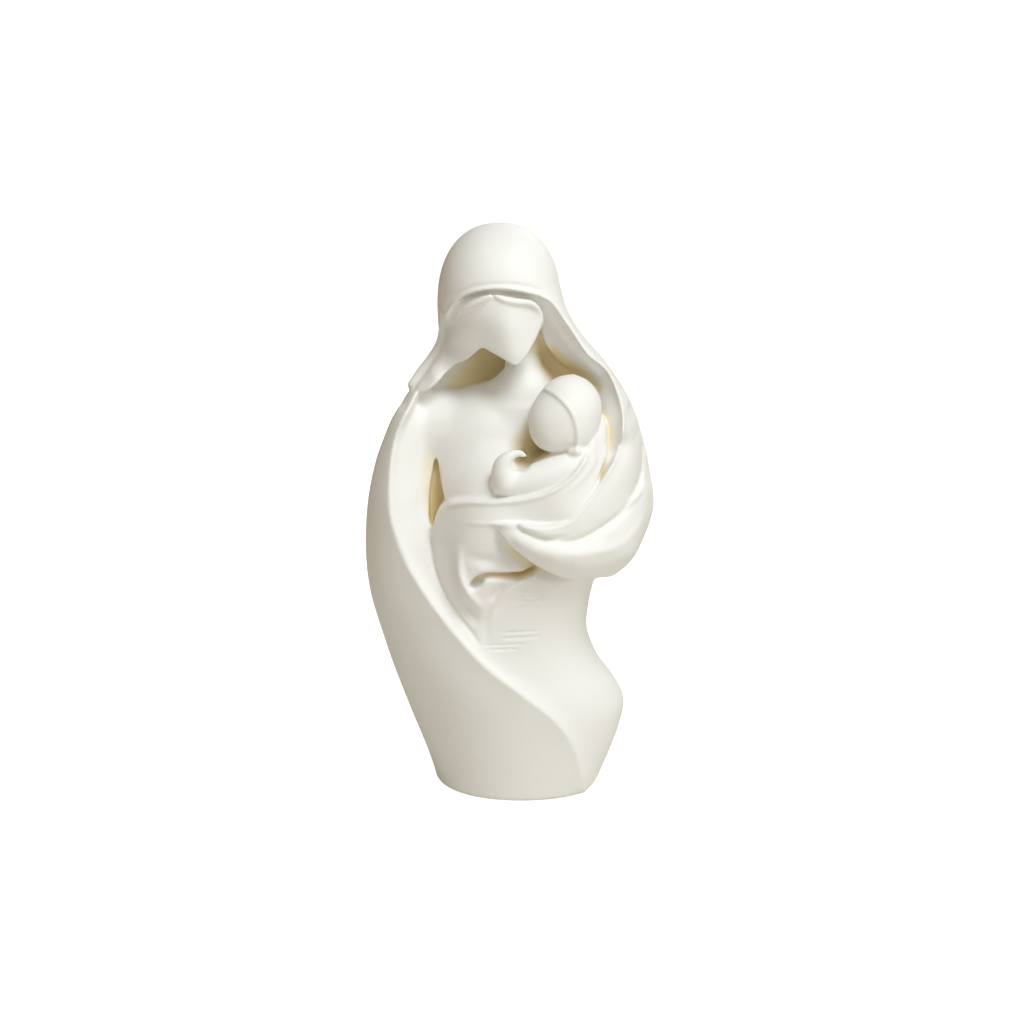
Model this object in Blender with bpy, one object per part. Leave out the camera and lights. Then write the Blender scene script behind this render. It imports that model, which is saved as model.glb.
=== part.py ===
"""Mother and child: a small cast figure of a veiled mother holding her wrapped baby.

Run with  blender --background --python part.py  or from Blender's text editor.

The figure is one piece whose cloth and limbs run into each other. It is modelled like clay: forms are
added to a block, hollows are cut from it and edges are raised by strokes. Blender's Volume to Mesh node
then skins the block, and a Decimate modifier brings the skin to the wanted number of triangles.

Places are (x, front, z): x to the viewer's right, front towards the viewer, z up, all in shares.
One share is a 240th of the figure's height, so a share is a millimetre on the real figure.
"""

import math

import bpy
import numpy as np

HEIGHT = 0.240  # from the stand to the top of the hood
SHARES = 240  # shares in the height
TRIANGLES = 9600  # faces of the finished solid
CLAY_STEP = 1.5  # shares between the sampled points of the block
NAME = "mother_and_child"
CREAM = (0.86, 0.83, 0.76, 1.0)
SATIN = 0.42  # roughness of the cast surface

BLOCK_LOW = (-68.0, -52.0, -4.0)  # x, front and z of the block's corners
BLOCK_HIGH = (68.0, 58.0, 246.0)
BACK_POWER = 2.2  # 2 is an ellipse, more is squarer
AIR = 60.0  # value of a point far from any clay


# Curves and surfaces through a few points


def smooth_curve(points, closed=False, steps=8):
    """Points along a smooth curve through the given ones, steps of them to each span."""
    points = np.array(points, float)
    if closed:
        points = np.vstack([points[-1], points, points[0], points[1]])
    else:
        points = np.vstack([2 * points[0] - points[1], points, 2 * points[-1] - points[-2]])
    knots = np.concatenate([[0], np.cumsum(np.sqrt(np.linalg.norm(np.diff(points, axis=0), axis=1)))])
    slopes = np.diff(points, axis=0) / np.diff(knots)[:, None]
    weight = (np.diff(knots)[1:] / (knots[2:] - knots[:-2]))[:, None]
    tangents = weight * slopes[:-1] + (1 - weight) * slopes[1:]
    curve = []
    for i in range(1, len(points) - 2):
        span = knots[i + 1] - knots[i]
        for t in np.arange(steps) / steps:
            curve.append(
                (2 * t**3 - 3 * t**2 + 1) * points[i]
                + (t**3 - 2 * t**2 + t) * span * tangents[i - 1]
                + (3 * t**2 - 2 * t**3) * points[i + 1]
                + (t**3 - t**2) * span * tangents[i]
            )
    if not closed:
        curve.append(points[-2])
    return np.array(curve)


def along(height, knots):
    """A value that runs smoothly up the figure, from (z, value) knots in rising order."""
    curve = smooth_curve(knots)
    return np.interp(height, curve[:, 0], curve[:, 1])


def drape(points):
    """A function front(x, z) of the softest sheet through the given (x, front, z) points."""
    points = np.array(points, float)
    x, front, z = points.T
    count = len(points)

    def bend(square):
        return 0.5 * square * np.log(square + 1e-9)

    system = np.zeros((count + 3, count + 3))
    system[:count, :count] = bend((x[:, None] - x) ** 2 + (z[:, None] - z) ** 2)
    flat = np.stack([np.ones(count), x, z])
    system[count:, :count] = flat
    system[:count, count:] = flat.T
    weights = np.linalg.solve(system, np.concatenate([front, np.zeros(3)]))

    def sheet(across, height):
        found = weights[count] + weights[count + 1] * across + weights[count + 2] * height
        for i in range(count):
            found = found + weights[i] * bend((across - x[i]) ** 2 + (height - z[i]) ** 2)
        return found

    return sheet


def beside(curve, x, z):
    """How far (x, z) is from an open curve, above zero to its left, and how far along it that is."""
    nearest = np.full(np.broadcast(x, z).shape, np.inf)
    side = np.ones_like(nearest)
    share = np.zeros_like(nearest)
    steps = np.hypot(*np.diff(curve, axis=0).T)
    start = np.concatenate([[0], np.cumsum(steps)]) / steps.sum()
    for i, (a, b) in enumerate(zip(curve[:-1], curve[1:])):
        run = b - a
        t = np.clip(((x - a[0]) * run[0] + (z - a[1]) * run[1]) / (run @ run), 0, 1)
        away_x = x - a[0] - t * run[0]
        away_z = z - a[1] - t * run[1]
        far = np.hypot(away_x, away_z)
        closer = far < nearest
        nearest = np.where(closer, far, nearest)
        side = np.where(closer, np.sign(run[0] * away_z - run[1] * away_x), side)
        share = np.where(closer, start[i] + t * (start[i + 1] - start[i]), share)
    return nearest * side, share


def outside(curve, x, z):
    """Distance of (x, z) from a closed curve, below zero inside it."""
    nearest = np.full(np.broadcast(x, z).shape, np.inf)
    inside = np.zeros(nearest.shape, bool)
    for a, b in zip(curve, np.roll(curve, -1, axis=0)):
        run = b - a
        t = np.clip(((x - a[0]) * run[0] + (z - a[1]) * run[1]) / (run @ run), 0, 1)
        nearest = np.minimum(nearest, np.hypot(x - a[0] - t * run[0], z - a[1] - t * run[1]))
        if run[1]:
            crosses = (z >= min(a[1], b[1])) & (z < max(a[1], b[1]))
            inside ^= crosses & (x < a[0] + (z - a[1]) / run[1] * run[0])
    return np.where(inside, -nearest, nearest)


def smooth_min(a, b, blend):
    """The smaller of two values, with the change between them rounded over blend."""
    if not blend:
        return np.minimum(a, b)
    mix = np.clip(0.5 + 0.5 * (b - a) / blend, 0, 1)
    return b + (a - b) * mix - blend * mix * (1 - mix)


def smooth_max(a, b, blend):
    return -smooth_min(-a, -b, blend)


# The block of clay


class Form:
    """A body of clay: the box it fits in, and a function of x, front and z that is below zero inside."""

    def __init__(self, low, high, field):
        self.low = low
        self.high = high
        self.field = field


class Clay:
    """A block of sampled points: below zero is clay, above zero air, by the distance to the surface."""

    MARGIN = 8.0

    def __init__(self, step):
        self.step = step
        self.axes = [np.arange(low, high, step) for low, high in zip(BLOCK_LOW, BLOCK_HIGH)]
        self.values = np.full([len(axis) for axis in self.axes], AIR, np.float32)

    def window(self, low, high):
        """The part of the block in a box, as slices, and the x, front and z of its points."""
        cut = []
        for axis, near, far in zip(self.axes, low, high):
            first, last = np.searchsorted(axis, [near - self.MARGIN, far + self.MARGIN])
            cut.append(slice(first, last))
        x, front, z = [axis[part] for axis, part in zip(self.axes, cut)]
        return tuple(cut), x[:, None, None], front[None, :, None], z[None, None, :]

    def add(self, form, blend=0.0):
        part, x, front, z = self.window(form.low, form.high)
        self.values[part] = smooth_min(self.values[part], form.field(x, front, z), blend)

    def cut(self, form, blend=0.0):
        part, x, front, z = self.window(form.low, form.high)
        self.values[part] = smooth_max(self.values[part], -form.field(x, front, z), blend)

    def stroke(self, path, profile, behind=-10.0, ease=8.0, facing=1):
        """Raises the surface along an (x, z) path by profile(distance to its left, share along it).

        It works on the front, or on the back where facing is -1, and not deeper than behind.
        """
        curve = smooth_curve(path)
        low = [curve[:, 0].min() - 20, behind, curve[:, 1].min() - 20]
        high = [curve[:, 0].max() + 20, BLOCK_HIGH[1], curve[:, 1].max() + 20]
        if facing < 0:
            low[1], high[1] = BLOCK_LOW[1], -behind
        part, x, front, z = self.window(low, high)
        rise = profile(*beside(curve, x, z))
        self.values[part] -= rise * np.clip((front * facing - behind) / ease, 0, 1)

    def press(self, outline, front, soft, behind=0.0):
        """Brings the front to a surface inside an (x, z) outline, easing in from its rim over soft."""
        curve = smooth_curve(outline, closed=True)
        low = (curve[:, 0].min(), behind, curve[:, 1].min())
        high = (curve[:, 0].max(), BLOCK_HIGH[1], curve[:, 1].max())
        part, x, depth, z = self.window(low, high)
        surface = front(x, z)
        lift = (depth - surface) / steepness(surface, x, z)
        weight = np.clip(-outside(curve, x, z) / soft, 0, 1)
        weight = weight * weight * (3 - 2 * weight) * np.clip((depth - behind) / 8, 0, 1)
        self.values[part] += weight * (lift - self.values[part])

    def soften(self):
        """Evens out the surface over about one step, as sanding does."""
        for axis in range(3):
            sides = np.roll(self.values, 1, axis) + np.roll(self.values, -1, axis)
            self.values = (self.values / 2 + sides / 4).astype(np.float32)

    @staticmethod
    def joined(first, second, blend):
        """Two forms as one, run into each other."""
        low = np.minimum(first.low, second.low)
        high = np.maximum(first.high, second.high)

        def field(x, front, z):
            return smooth_min(first.field(x, front, z), second.field(x, front, z), blend)

        return Form(low, high, field)


def egg(centre, radii, lean=0.0, power=2.0):
    """An ellipsoid, leaning to the viewer's right by some degrees. A power over 2 makes it squarer."""
    turn = math.radians(lean)
    reach = max(radii)
    low = [c - reach for c in centre]
    high = [c + reach for c in centre]

    def field(x, front, z):
        across = (x - centre[0]) * math.cos(turn) - (z - centre[2]) * math.sin(turn)
        up = (x - centre[0]) * math.sin(turn) + (z - centre[2]) * math.cos(turn)
        deep = front - centre[1]
        shares = [np.abs(off / radius) ** power for off, radius in zip((across, deep, up), radii)]
        size = (shares[0] + shares[1] + shares[2]) ** (1 / power)
        slope = np.sqrt(
            (across / radii[0] ** 2) ** 2 + (deep / radii[1] ** 2) ** 2 + (up / radii[2] ** 2) ** 2
        )
        return size * (size - 1) / np.maximum(slope, 1e-6)

    return Form(low, high, field)


def limb(stations, flat=1.0):
    """A round tapering body along (x, front, z, radius) stations, thinner from front to back by flat."""
    spine = smooth_curve(stations, steps=4)
    reach = spine[:, 3].max()
    low = spine[:, :3].min(0) - reach
    high = spine[:, :3].max(0) + reach

    def field(x, front, z):
        nearest = np.inf
        for a, b in zip(spine[:-1], spine[1:]):
            run = (b[:3] - a[:3]) * (1, 1 / flat, 1)
            off_x = x - a[0]
            off_y = (front - a[1]) / flat
            off_z = z - a[2]
            t = np.clip((off_x * run[0] + off_y * run[1] + off_z * run[2]) / (run @ run), 0, 1)
            gap = np.sqrt(
                (off_x - t * run[0]) ** 2 + (off_y - t * run[1]) ** 2 + (off_z - t * run[2]) ** 2
            )
            nearest = np.minimum(nearest, gap - a[3] - t * (b[3] - a[3]))
        return nearest * min(flat, 1)

    return Form(low, high, field)


def steepness(surface, x, z):
    """How much longer the way straight to the front is than the shortest way to a surface."""
    across, up = np.gradient(surface[:, 0, :], x[1, 0, 0] - x[0, 0, 0], z[0, 0, 1] - z[0, 0, 0])
    return np.sqrt(1 + across**2 + up**2)[:, None, :]


def slab(outline, face, back, edge):
    """A body with a closed (x, z) outline, from back to the front surface face, its edge rounded."""
    curve = smooth_curve(outline, closed=True)
    low = (curve[:, 0].min(), back, curve[:, 1].min())
    high = (curve[:, 0].max(), BLOCK_HIGH[1], curve[:, 1].max())

    def field(x, front, z):
        rim = outside(curve, x, z)
        surface = face(x, z)
        lift = (front - surface) / steepness(surface, x, z)
        return smooth_max(smooth_max(lift, rim, edge), back - front, edge)

    return Form(low, high, field)


def hollow(outline, floor, edge):
    """What is cut away in front of floor(x, z), inside a closed (x, z) outline."""
    curve = smooth_curve(outline, closed=True)
    low = (curve[:, 0].min(), -40.0, curve[:, 1].min())
    high = (curve[:, 0].max(), BLOCK_HIGH[1], curve[:, 1].max())

    def field(x, front, z):
        surface = floor(x, z)
        return smooth_max(outside(curve, x, z), (surface - front) / steepness(surface, x, z), edge)

    return Form(low, high, field)


def mass(left, right, fore, aft, square):
    """A body of level oval sections, squarer to the front: all its numbers run up it by height."""
    bottom = left[0][0]
    top = left[-1][0]

    def field(x, front, z):
        west = along(z, left)
        east = along(z, right)
        near = along(z, fore)
        far = along(z, aft)
        middle = (west + east) / 2
        half = (east - west) / 2
        deep = np.where(front > 0, near, far)
        across = np.abs(x - middle)
        power = np.where(front > 0, along(z, square), BACK_POWER)
        size = ((across / half) ** power + (np.abs(front) / deep) ** power) ** (1 / power)
        gap = (size - 1) * np.hypot(across, front) / np.maximum(size, 0.5)
        return smooth_max(gap, smooth_max(bottom - z, z - top, 0), 3.0)

    low = (BLOCK_LOW[0], BLOCK_LOW[1], bottom)
    high = (BLOCK_HIGH[0], BLOCK_HIGH[1], top)
    return Form(low, high, field)


# Profiles of strokes


def step(rise, soft, crisp, fade=0.12):
    """A raised cloth edge: it swells up over soft on the left and drops over crisp on the right."""

    def profile(side, share):
        swell = np.exp(-((np.maximum(side, 0) / soft) ** 2))
        drop = np.clip(1 + side / crisp, 0, 1)
        return rise * np.where(side > 0, swell, drop * drop * (3 - 2 * drop)) * ends(share, fade)

    return profile


def crest(rise, left, right, fade=0.2, rounding=0.6):
    """A ridge that falls away over left on one side and over right on the other."""

    def profile(side, share):
        away = np.hypot(side, rounding) - rounding
        return rise * np.exp(-away / np.where(side > 0, left, right)) * ends(share, fade)

    return profile


def furrow(rise, width, fade=0.3):
    """A soft ridge, or a groove where rise is below zero."""

    def profile(side, share):
        return rise * np.exp(-((side / width) ** 2)) * ends(share, fade)

    return profile


def ends(share, fade):
    """1 along a stroke, easing to 0 over the share fade at both of its ends."""
    left = np.clip(np.minimum(share, 1 - share) / fade, 0, 1)
    return left * (2 - left)


# The figure's parts


def skirt():
    left = [
        (-9, -31), (0, -33), (12, -36.6), (35, -45.3), (60, -53.6), (85, -59.4), (106, -60.6), (118, -57),
        (125, -52),
    ]
    right = [
        (-9, 35), (0, 37.6), (13, 43), (24, 46.8), (35, 48.6), (43, 44.9), (53, 37.6), (67, 32.4),
        (80, 33), (100, 37), (125, 37),
    ]
    fore = [(-9, 32.5), (0, 33.5), (20, 35.5), (45, 37), (70, 37), (95, 36.5), (125, 36)]
    aft = [(-9, 31), (0, 32), (25, 35), (60, 39), (95, 41.4), (125, 38)]
    square = [(-9, 2.1), (30, 2.1), (60, 2.3), (85, 2.7), (125, 2.9)]
    return mass(left, right, fore, aft, square)


def cloak():
    left = [
        (70, -54.6), (85, -59.4), (106, -61.2), (125, -60), (142, -56.4), (154, -51.6), (161, -48.3),
        (166, -45.2), (172, -41.6), (180, -36), (190, -30.4), (200, -28.4), (210, -27), (218, -22),
        (224, -15),
    ]
    right = [
        (70, 28), (84, 31), (88.5, 35.5), (91.4, 40.5), (95.8, 47), (100.2, 52), (106, 55.8),
        (113, 58.4), (122, 60.3), (137, 58.4), (151, 55), (164, 50.7), (176, 44), (187, 35.2),
        (197, 27), (207, 21.4), (213, 18.4), (218, 14), (224, 6),
    ]
    fore = [
        (70, 35.4), (85, 36.7), (100, 38), (115, 40), (130, 40.5), (145, 37), (160, 32), (175, 29.5),
        (205, 29.5), (213, 28), (218, 25), (224, 18),
    ]
    aft = [
        (70, 39.5), (84, 41), (110, 43), (135, 43), (155, 41), (175, 38), (195, 34), (210, 28.5),
        (218, 23), (224, 16),
    ]
    square = [
        (70, 2.4), (84, 2.7), (110, 2.8), (140, 2.7), (152, 3.1), (162, 3.7), (172, 4), (200, 4),
        (208, 3.3), (218, 2.3), (224, 2.1),
    ]
    return with_rising_hem(mass(left, right, fore, aft, square))


def with_rising_hem(body):
    """The cloak's lower edge, which hangs higher in front than at the side on the viewer's right."""

    def field(x, front, z):
        rise = 73 + np.clip((x - 12) / 18, 0, 1) * (15.6 + 0.3 * np.clip(front, -10, 40))
        return smooth_max(body.field(x, front, z), rise - z, 1.5)

    return Form(body.low, body.high, field)


def hood():
    return egg((-5.4, -0.5, 207), (25.6, 31, 33), 0, 2.25)


VEIL_EDGE = [
    (-27.4, 199), (-25.6, 206), (-20.5, 212.6), (-8.8, 216.4), (3.2, 215.4), (14.5, 211.3),
    (21.9, 201.8), (30.1, 190), (39.6, 180.6), (44.9, 167), (45.1, 159.2), (41, 145.9), (33.2, 135.2),
    (23.4, 124.3), (14, 122.6), (0, 123.6), (-20, 123.4),
]
HOOD_HEM = [
    (-27.6, 205), (-26.4, 208.6), (-22.6, 212.8), (-16.8, 216.2), (-8.8, 217.8), (3.2, 217.2),
    (14.8, 213.2), (20.4, 206.6),
]


def front_hollow():
    """The hollow that the face, the breast and the baby stand in."""
    outline = VEIL_EDGE[:12] + [
        (37, 139), (30, 131), (22, 125), (-20, 118), (-32, 120), (-34, 132), (-34, 150), (-34, 166),
        (-34, 175), (-30, 183), (-27.5, 191),
    ]
    floor = drape([
        (-8, 25.2, 215), (-22, 17, 209), (10, 21.6, 212), (-10, -4, 188), (14, 0, 184), (30, 7, 177),
        (41, 18, 168), (41.5, 20.5, 157), (38, 27, 144), (31, 33.5, 135), (22, 38, 126), (0, 24, 124),
        (-32, 0, 132), (-34, 0, 166), (0, 4, 150), (-28, 10, 196),
    ])
    return hollow(outline, floor, 3.0)


def inner_veil():
    """The veil's inner side, to the right of the face."""
    outline = [
        (9, 215), (16, 211.5), (22.8, 202.6), (30.8, 190.8), (39.8, 181), (45.6, 168), (45.4, 158),
        (43.8, 151.4), (40.8, 145.4), (38.4, 150), (37.2, 159), (37.6, 170), (34, 174.4), (28, 178),
        (22, 181.4), (16.5, 187), (13, 194), (11, 202), (10, 208),
    ]
    front = drape([
        (14.5, 22, 211.3), (21.9, 20.4, 201.8), (30.1, 20.4, 190), (39.6, 17.4, 180.6),
        (45, 21.5, 167), (44, 25, 156), (43, 27, 151), (40.6, 28, 146), (38.6, 24, 151),
        (40.5, 21, 157), (40, 18, 166), (12, 12, 198), (17.5, 8, 187), (26, 6.5, 181), (35, 10, 175),
        (15.5, 17, 202), (23.5, 14, 190), (33, 13, 181),
    ])
    return slab(outline, front, -8, 0.8)


INNER_FOLD = [(13.5, 207), (18.4, 199), (25, 189.6), (33, 182), (40, 173)]


def face():
    """The blank face and, to its left, the hair that falls to the shoulder under the veil."""
    outline = [
        (-28.6, 203), (-26, 208), (-19, 211.4), (-8, 213.8), (3, 212), (9, 210.4), (12.2, 204.4),
        (11.6, 199.4), (8, 193), (4.4, 187.2), (1.3, 185.2), (-2.8, 187.4), (-8.1, 190.2),
        (-12.1, 191.6), (-15.4, 188.8), (-18.7, 186), (-23.3, 183.7), (-27.1, 180.1), (-30.9, 176),
        (-35, 172.8), (-38.6, 172), (-39.6, 173.6), (-36.4, 178.6), (-32.2, 184.4), (-28.8, 192),
        (-28.6, 199),
    ]
    front = drape([
        (-8, 28, 212), (6, 27, 211), (11.5, 23.4, 203), (-1, 30, 200), (0.5, 28.5, 190),
        (1.3, 27.2, 186), (8, 25, 194), (-8, 26.5, 191), (-12, 26, 198), (-22, 19.5, 200),
        (-26.4, 16.4, 203), (-26, 14.8, 193), (-22, 17.4, 187), (-28, 15, 181), (-39, 13, 174.5),
        (-33, 14, 180), (-28.8, 9, 200), (-29, 8, 192), (-32.4, 8.6, 185.4), (-36, 9.6, 180.4),
    ])
    return slab(outline, front, 0, 1.4)


def beside_face():
    """Where the veil and the hood turn away on the viewer's left."""
    outline = [
        (-24, 204), (-21, 199), (-21, 190), (-26, 179), (-34, 168), (-46, 164), (-54, 176), (-46, 192),
        (-41, 201), (-32, 206),
    ]
    front = drape([
        (-25.4, 20, 206), (-27.6, 16, 206), (-25, 17.2, 199), (-26, 15, 192), (-28.4, 13, 185.5),
        (-33, 10.5, 180), (-38.5, 7.5, 175.5), (-43, 10, 168), (-31.2, -1, 206), (-31.2, -3, 196),
        (-33.6, -3, 189), (-38.4, -3, 182), (-43.6, -3, 175), (-47.5, 2, 167),
    ])
    return outline, front


def veil_side():
    """The veil's edge on the viewer's left, from the brow to its tip on the shoulder."""
    return limb([
        (-27.6, 12, 206, 1.0), (-28.6, 9, 199, 1.5), (-29.6, 6, 191.6, 1.9), (-33, 5.4, 185, 2.2),
        (-37.2, 6.4, 179, 2.6), (-41, 8.4, 174, 2.4),
    ])


def hair():
    left = limb([
        (-22.4, 22, 205.2, 0.7), (-17, 25.4, 208.8, 1.4), (-12, 27.4, 211.4, 1.5),
        (-8.8, 28.6, 213.2, 0.9),
    ])
    right = limb([
        (-6.4, 28.6, 213.2, 0.8), (-2.6, 28.6, 211.4, 1.2), (2.4, 28.2, 210.6, 1.4), (7, 27, 210.2, 1.3),
        (10.4, 24.6, 207.6, 1.0), (12.2, 21.4, 203.8, 0.7), (12.4, 19, 199.5, 0.5),
    ])
    return left, right


def neck():
    return limb([(3, 0, 198, 7.5), (4, 3.5, 186, 7), (5, 5, 178, 8.5), (5, 4, 168, 13.5)])


def breast():
    return [
        egg((-9, 1, 144), (28, 23.5, 30), -4),
        egg((-30, 0, 156.5), (12, 15, 15), 10),
        egg((6, 2, 160), (18, 17, 17)),
        egg((-7, 13, 128), (23.5, 28, 24)),
        egg((-32, 0, 128), (9, 15, 26)),
    ]


def arm_gap():
    """The deep gap between the mother's arm and her side."""
    outline = [
        (-31.6, 144.8), (-33.5, 136), (-34.4, 127.6), (-33.8, 119), (-31, 116.4), (-25, 119),
        (-26.6, 125.5), (-29.2, 134),
    ]
    floor = drape([(-33, 10, 144), (-34, 13, 130), (-33, 18, 118), (-27, 16, 125), (-29, 14, 134)])
    return hollow(outline, floor, 1.0)


def upper_arm():
    """The arm strip between the cloak's ridge and the breast or the bundle."""
    outline = [
        (-38.6, 174.6), (-34, 178.5), (-28, 177), (-26, 164), (-27, 148), (-28, 136), (-22, 126),
        (-18, 116), (-16, 104), (-13, 92), (-9, 80), (-7, 71), (-6.6, 63), (-10.3, 61.3),
        (-23.4, 75.8), (-34.9, 91.4), (-44.4, 106.7), (-49.9, 123), (-50.7, 133.3), (-49.9, 146),
        (-47.6, 156), (-43.2, 165.5), (-39.5, 172),
    ]
    front = drape([
        (-37, 1, 173), (-41, 7, 170.5), (-43.4, 15, 165), (-47.6, 20.6, 156), (-49.9, 24.2, 146),
        (-50.7, 28, 133), (-49.9, 30.5, 123), (-44.4, 33.2, 107), (-35, 34.9, 91), (-23.4, 36.4, 76),
        (-10, 37, 61), (-30, 1, 171.5), (-30, 8, 162), (-29, 10, 150), (-32, 14, 138), (-33, 20, 128),
        (-33, 29, 116), (-30, 32.6, 104), (-25, 34.6, 92), (-17, 36.2, 79), (-20, 30, 120),
        (-18, 32, 106), (-14, 35, 92), (-8, 37, 66), (-40, 16.5, 155), (-41, 24.5, 130),
        (-39, 31.5, 112),
    ])
    return outline, front


def bundle():
    outline = [
        (-13, 69.5), (-21.8, 81.9), (-27, 90.3), (-32.7, 106), (-33, 114), (-31, 123.4), (-26, 129.6),
        (-19, 131.8), (-4.8, 132.6), (4.8, 133.8), (13.6, 136.2), (22, 140.6), (27.4, 146),
        (31.4, 152.6), (33.4, 159), (36, 163), (38.6, 160), (38.8, 153.6), (37.6, 146.4),
        (35.6, 139.6), (32.4, 132.4), (27, 125), (18, 118), (27, 108), (12, 101), (4.9, 97.2),
        (-4.1, 87.3), (-10.3, 76.5),
    ]
    front = drape([
        (-13, 37.4, 70), (-21.5, 37.2, 82), (-27, 36, 91), (-31, 34.4, 101), (-33, 32.4, 112),
        (-30, 35, 124), (-19, 42, 131), (-5, 45.5, 132), (8, 46, 134), (20, 45, 139), (28.5, 41, 146),
        (34.4, 32, 156), (36, 26.5, 162), (38, 25.5, 160), (38.4, 28, 153), (36.6, 32.6, 146),
        (33.6, 37, 139.6), (28.6, 42, 132.6), (24, 44.6, 127), (25, 40, 105), (-20, 43, 114),
        (-5, 46.3, 123), (-10, 45.6, 116), (-9, 43.4, 107), (-2, 40.4, 104.4), (-4, 43, 113),
        (1.5, 37, 109.6), (8, 33.6, 104), (14, 33, 99.6), (4, 37, 100.4), (5, 36, 97.4),
        (-3.5, 36.3, 87), (-10, 36.9, 76), (-15, 42, 94),
    ])
    return slab(outline, front, 0, 1.6)


BLANKET_RIM = [
    (-27, 129), (-19, 131.6), (-5, 132.4), (5, 133.6), (14, 136), (21.5, 140.2),
    (27.4, 146), (31, 152),
]
BUNDLE_SIDE = [
    (-33, 114), (-32.7, 106.5), (-30.3, 98.2), (-27, 90.3), (-21.8, 81.9), (-16.4, 74.8), (-13.6, 70),
]


def baby_body():
    """The baby's body and sleeve, in front of the breast."""
    outline = [
        (30, 152.5), (20, 151), (12, 147.4), (6.4, 144), (0.5, 142), (-4.5, 141), (-8.4, 139),
        (-9.2, 135), (-6, 131), (5, 131), (22, 136), (34, 148),
    ]
    front = drape([
        (30, 33, 151), (18, 36, 148.5), (6, 37, 144.5), (-4, 36, 146), (-8, 34, 138), (-4, 39, 134),
        (8, 42.5, 135), (22, 41.5, 142), (34, 34, 152),
    ])
    return slab(outline, front, 0, 2.4)


def baby_arm():
    return limb([
        (30, 34, 147.5, 4.4), (22, 36, 144.2, 6.2), (11, 37.6, 140.4, 6.7), (2, 38.6, 138.6, 5.8),
        (-3.6, 39, 139, 5.2),
    ])


def baby_fist():
    return limb([
        (-2.8, 40, 139.5, 5.3), (-4, 41, 144.5, 4.2), (-3.2, 41.6, 148.2, 3.2), (0, 41.6, 151, 1.9),
        (3.2, 41, 151.5, 1.4), (5.6, 40, 149.6, 1.0),
    ])


def fist_hole():
    """The dark hollow inside the bent hand."""
    return egg((4.2, 34, 146.8), (3.8, 16, 3.1), -25)


def baby_head():
    skull = egg((23.2, 25.5, 166.6), (13.4, 14, 14.2), 12)
    nape = egg((24.4, 25.5, 160.4), (10.8, 12, 12.2))
    cheeks = egg((19.2, 28.5, 161.4), (12.4, 12, 11.4), -8, 2.4)
    ear = egg((25.2, 37.4, 151.2), (2.8, 2.6, 1.9))
    return skull, nape, cheeks, ear


CAP_LINE = [
    (9.5, 176), (15, 175.6), (19.4, 173), (23.4, 168.6), (25.6, 163), (26.2, 156.5), (25.4, 150.5),
]


VEIL_FOLD_FRONT = [
    (45, 25, 166), (44, 30, 153), (37.3, 37.5, 140.3), (27.8, 44, 129.2), (22, 47, 124), (5, 48.5, 123),
    (-7, 47, 123.6), (-15, 43.2, 123), (-10, 44, 120), (50, 17.5, 160), (54, 11.5, 150), (54, 14.5, 140),
    (51, 21, 131), (46, 29, 125.5), (38, 36.4, 120.5), (26, 43.4, 116), (16, 46, 114), (0, 47, 118),
    (58.5, -3, 141), (56, -3, 152), (50, 25, 140), (52, -3, 163),
]


def beside_sleeve():
    """Where the veil's front falls away to the right, above the sleeve."""
    outline = [
        (47, 168), (46, 156), (43, 146), (36, 136), (28, 127), (36, 120), (46, 124), (52, 130),
        (60, 131), (67, 134), (67, 150), (62, 166),
    ]
    return outline, drape(VEIL_FOLD_FRONT)


def veil_fold():
    """The veil's fold under the baby, from the viewer's right round to the hand."""
    outline = [
        (45.4, 166), (44.4, 154), (41, 146), (37.3, 140.3), (33.2, 135.2), (27.8, 129.2), (23, 124.6),
        (14.5, 122.9), (5, 123.2), (-5, 124), (-15, 124), (-16, 121.6), (0, 117.6), (17, 110.5),
        (25.5, 112), (39, 116.5), (47, 122.5), (51, 130), (51.5, 145), (49.6, 157), (48, 164),
    ]
    return slab(outline, drape(VEIL_FOLD_FRONT), 0, 1.4)


SLEEVE_FRONT = [
    (-6, 47, 122), (-2.5, 49.6, 120), (3, 51.5, 117), (9, 51, 114), (16.4, 50.5, 113),
    (25.4, 47, 111.6), (35.7, 41.5, 111.2), (43.4, 35.5, 112), (50, 28, 115), (54.5, 20, 121),
    (57.5, 11, 130), (0, 47, 113), (8, 45, 106.6), (18, 42, 100.8), (30, 36, 98), (41, 27.5, 98.6),
    (49, 20, 101.6), (53.5, 14, 106), (57, 9, 113), (59, 8, 121), (4, 50, 121), (14, 47, 118),
    (25.5, 43, 116.4), (37.6, 36.2, 120.8), (45.6, 29, 125.8), (51.4, 20.5, 131.5), (54.4, 14, 140),
    (30, 36, 122.6), (43, 24, 129.4), (61.4, -4, 122), (60.4, -4, 131), (59.4, -4, 113),
    (56.4, -4, 106), (58, -4, 140),
]


def sleeve_side():
    """The sleeve's upper arm on the far right, where it turns away."""
    outline = [
        (28, 119), (22, 108), (26, 98), (40, 96), (50, 98), (62, 100), (68, 112), (68, 134), (62, 143),
        (55.4, 143), (52.4, 132), (46, 126), (38, 121.4),
    ]
    return outline, drape(SLEEVE_FRONT)


def hand_and_sleeve():
    outline = [
        (-6.4, 121.6), (-2.8, 116.8), (2.4, 112.1), (7.7, 107.4), (12.9, 103.8), (18.3, 100.6),
        (23.7, 98.6), (30, 97.6), (34.7, 97.4), (41.1, 98.3), (48, 101), (52, 106), (54, 113),
        (54, 122), (51.5, 129), (48, 129.5), (43.6, 127), (37, 123.2), (31, 121), (25.5, 119),
        (20.2, 118), (14, 118), (8, 120.4), (2, 123), (-3, 124.2),
    ]
    return slab(outline, drape(SLEEVE_FRONT), 0, 1.4)


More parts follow.
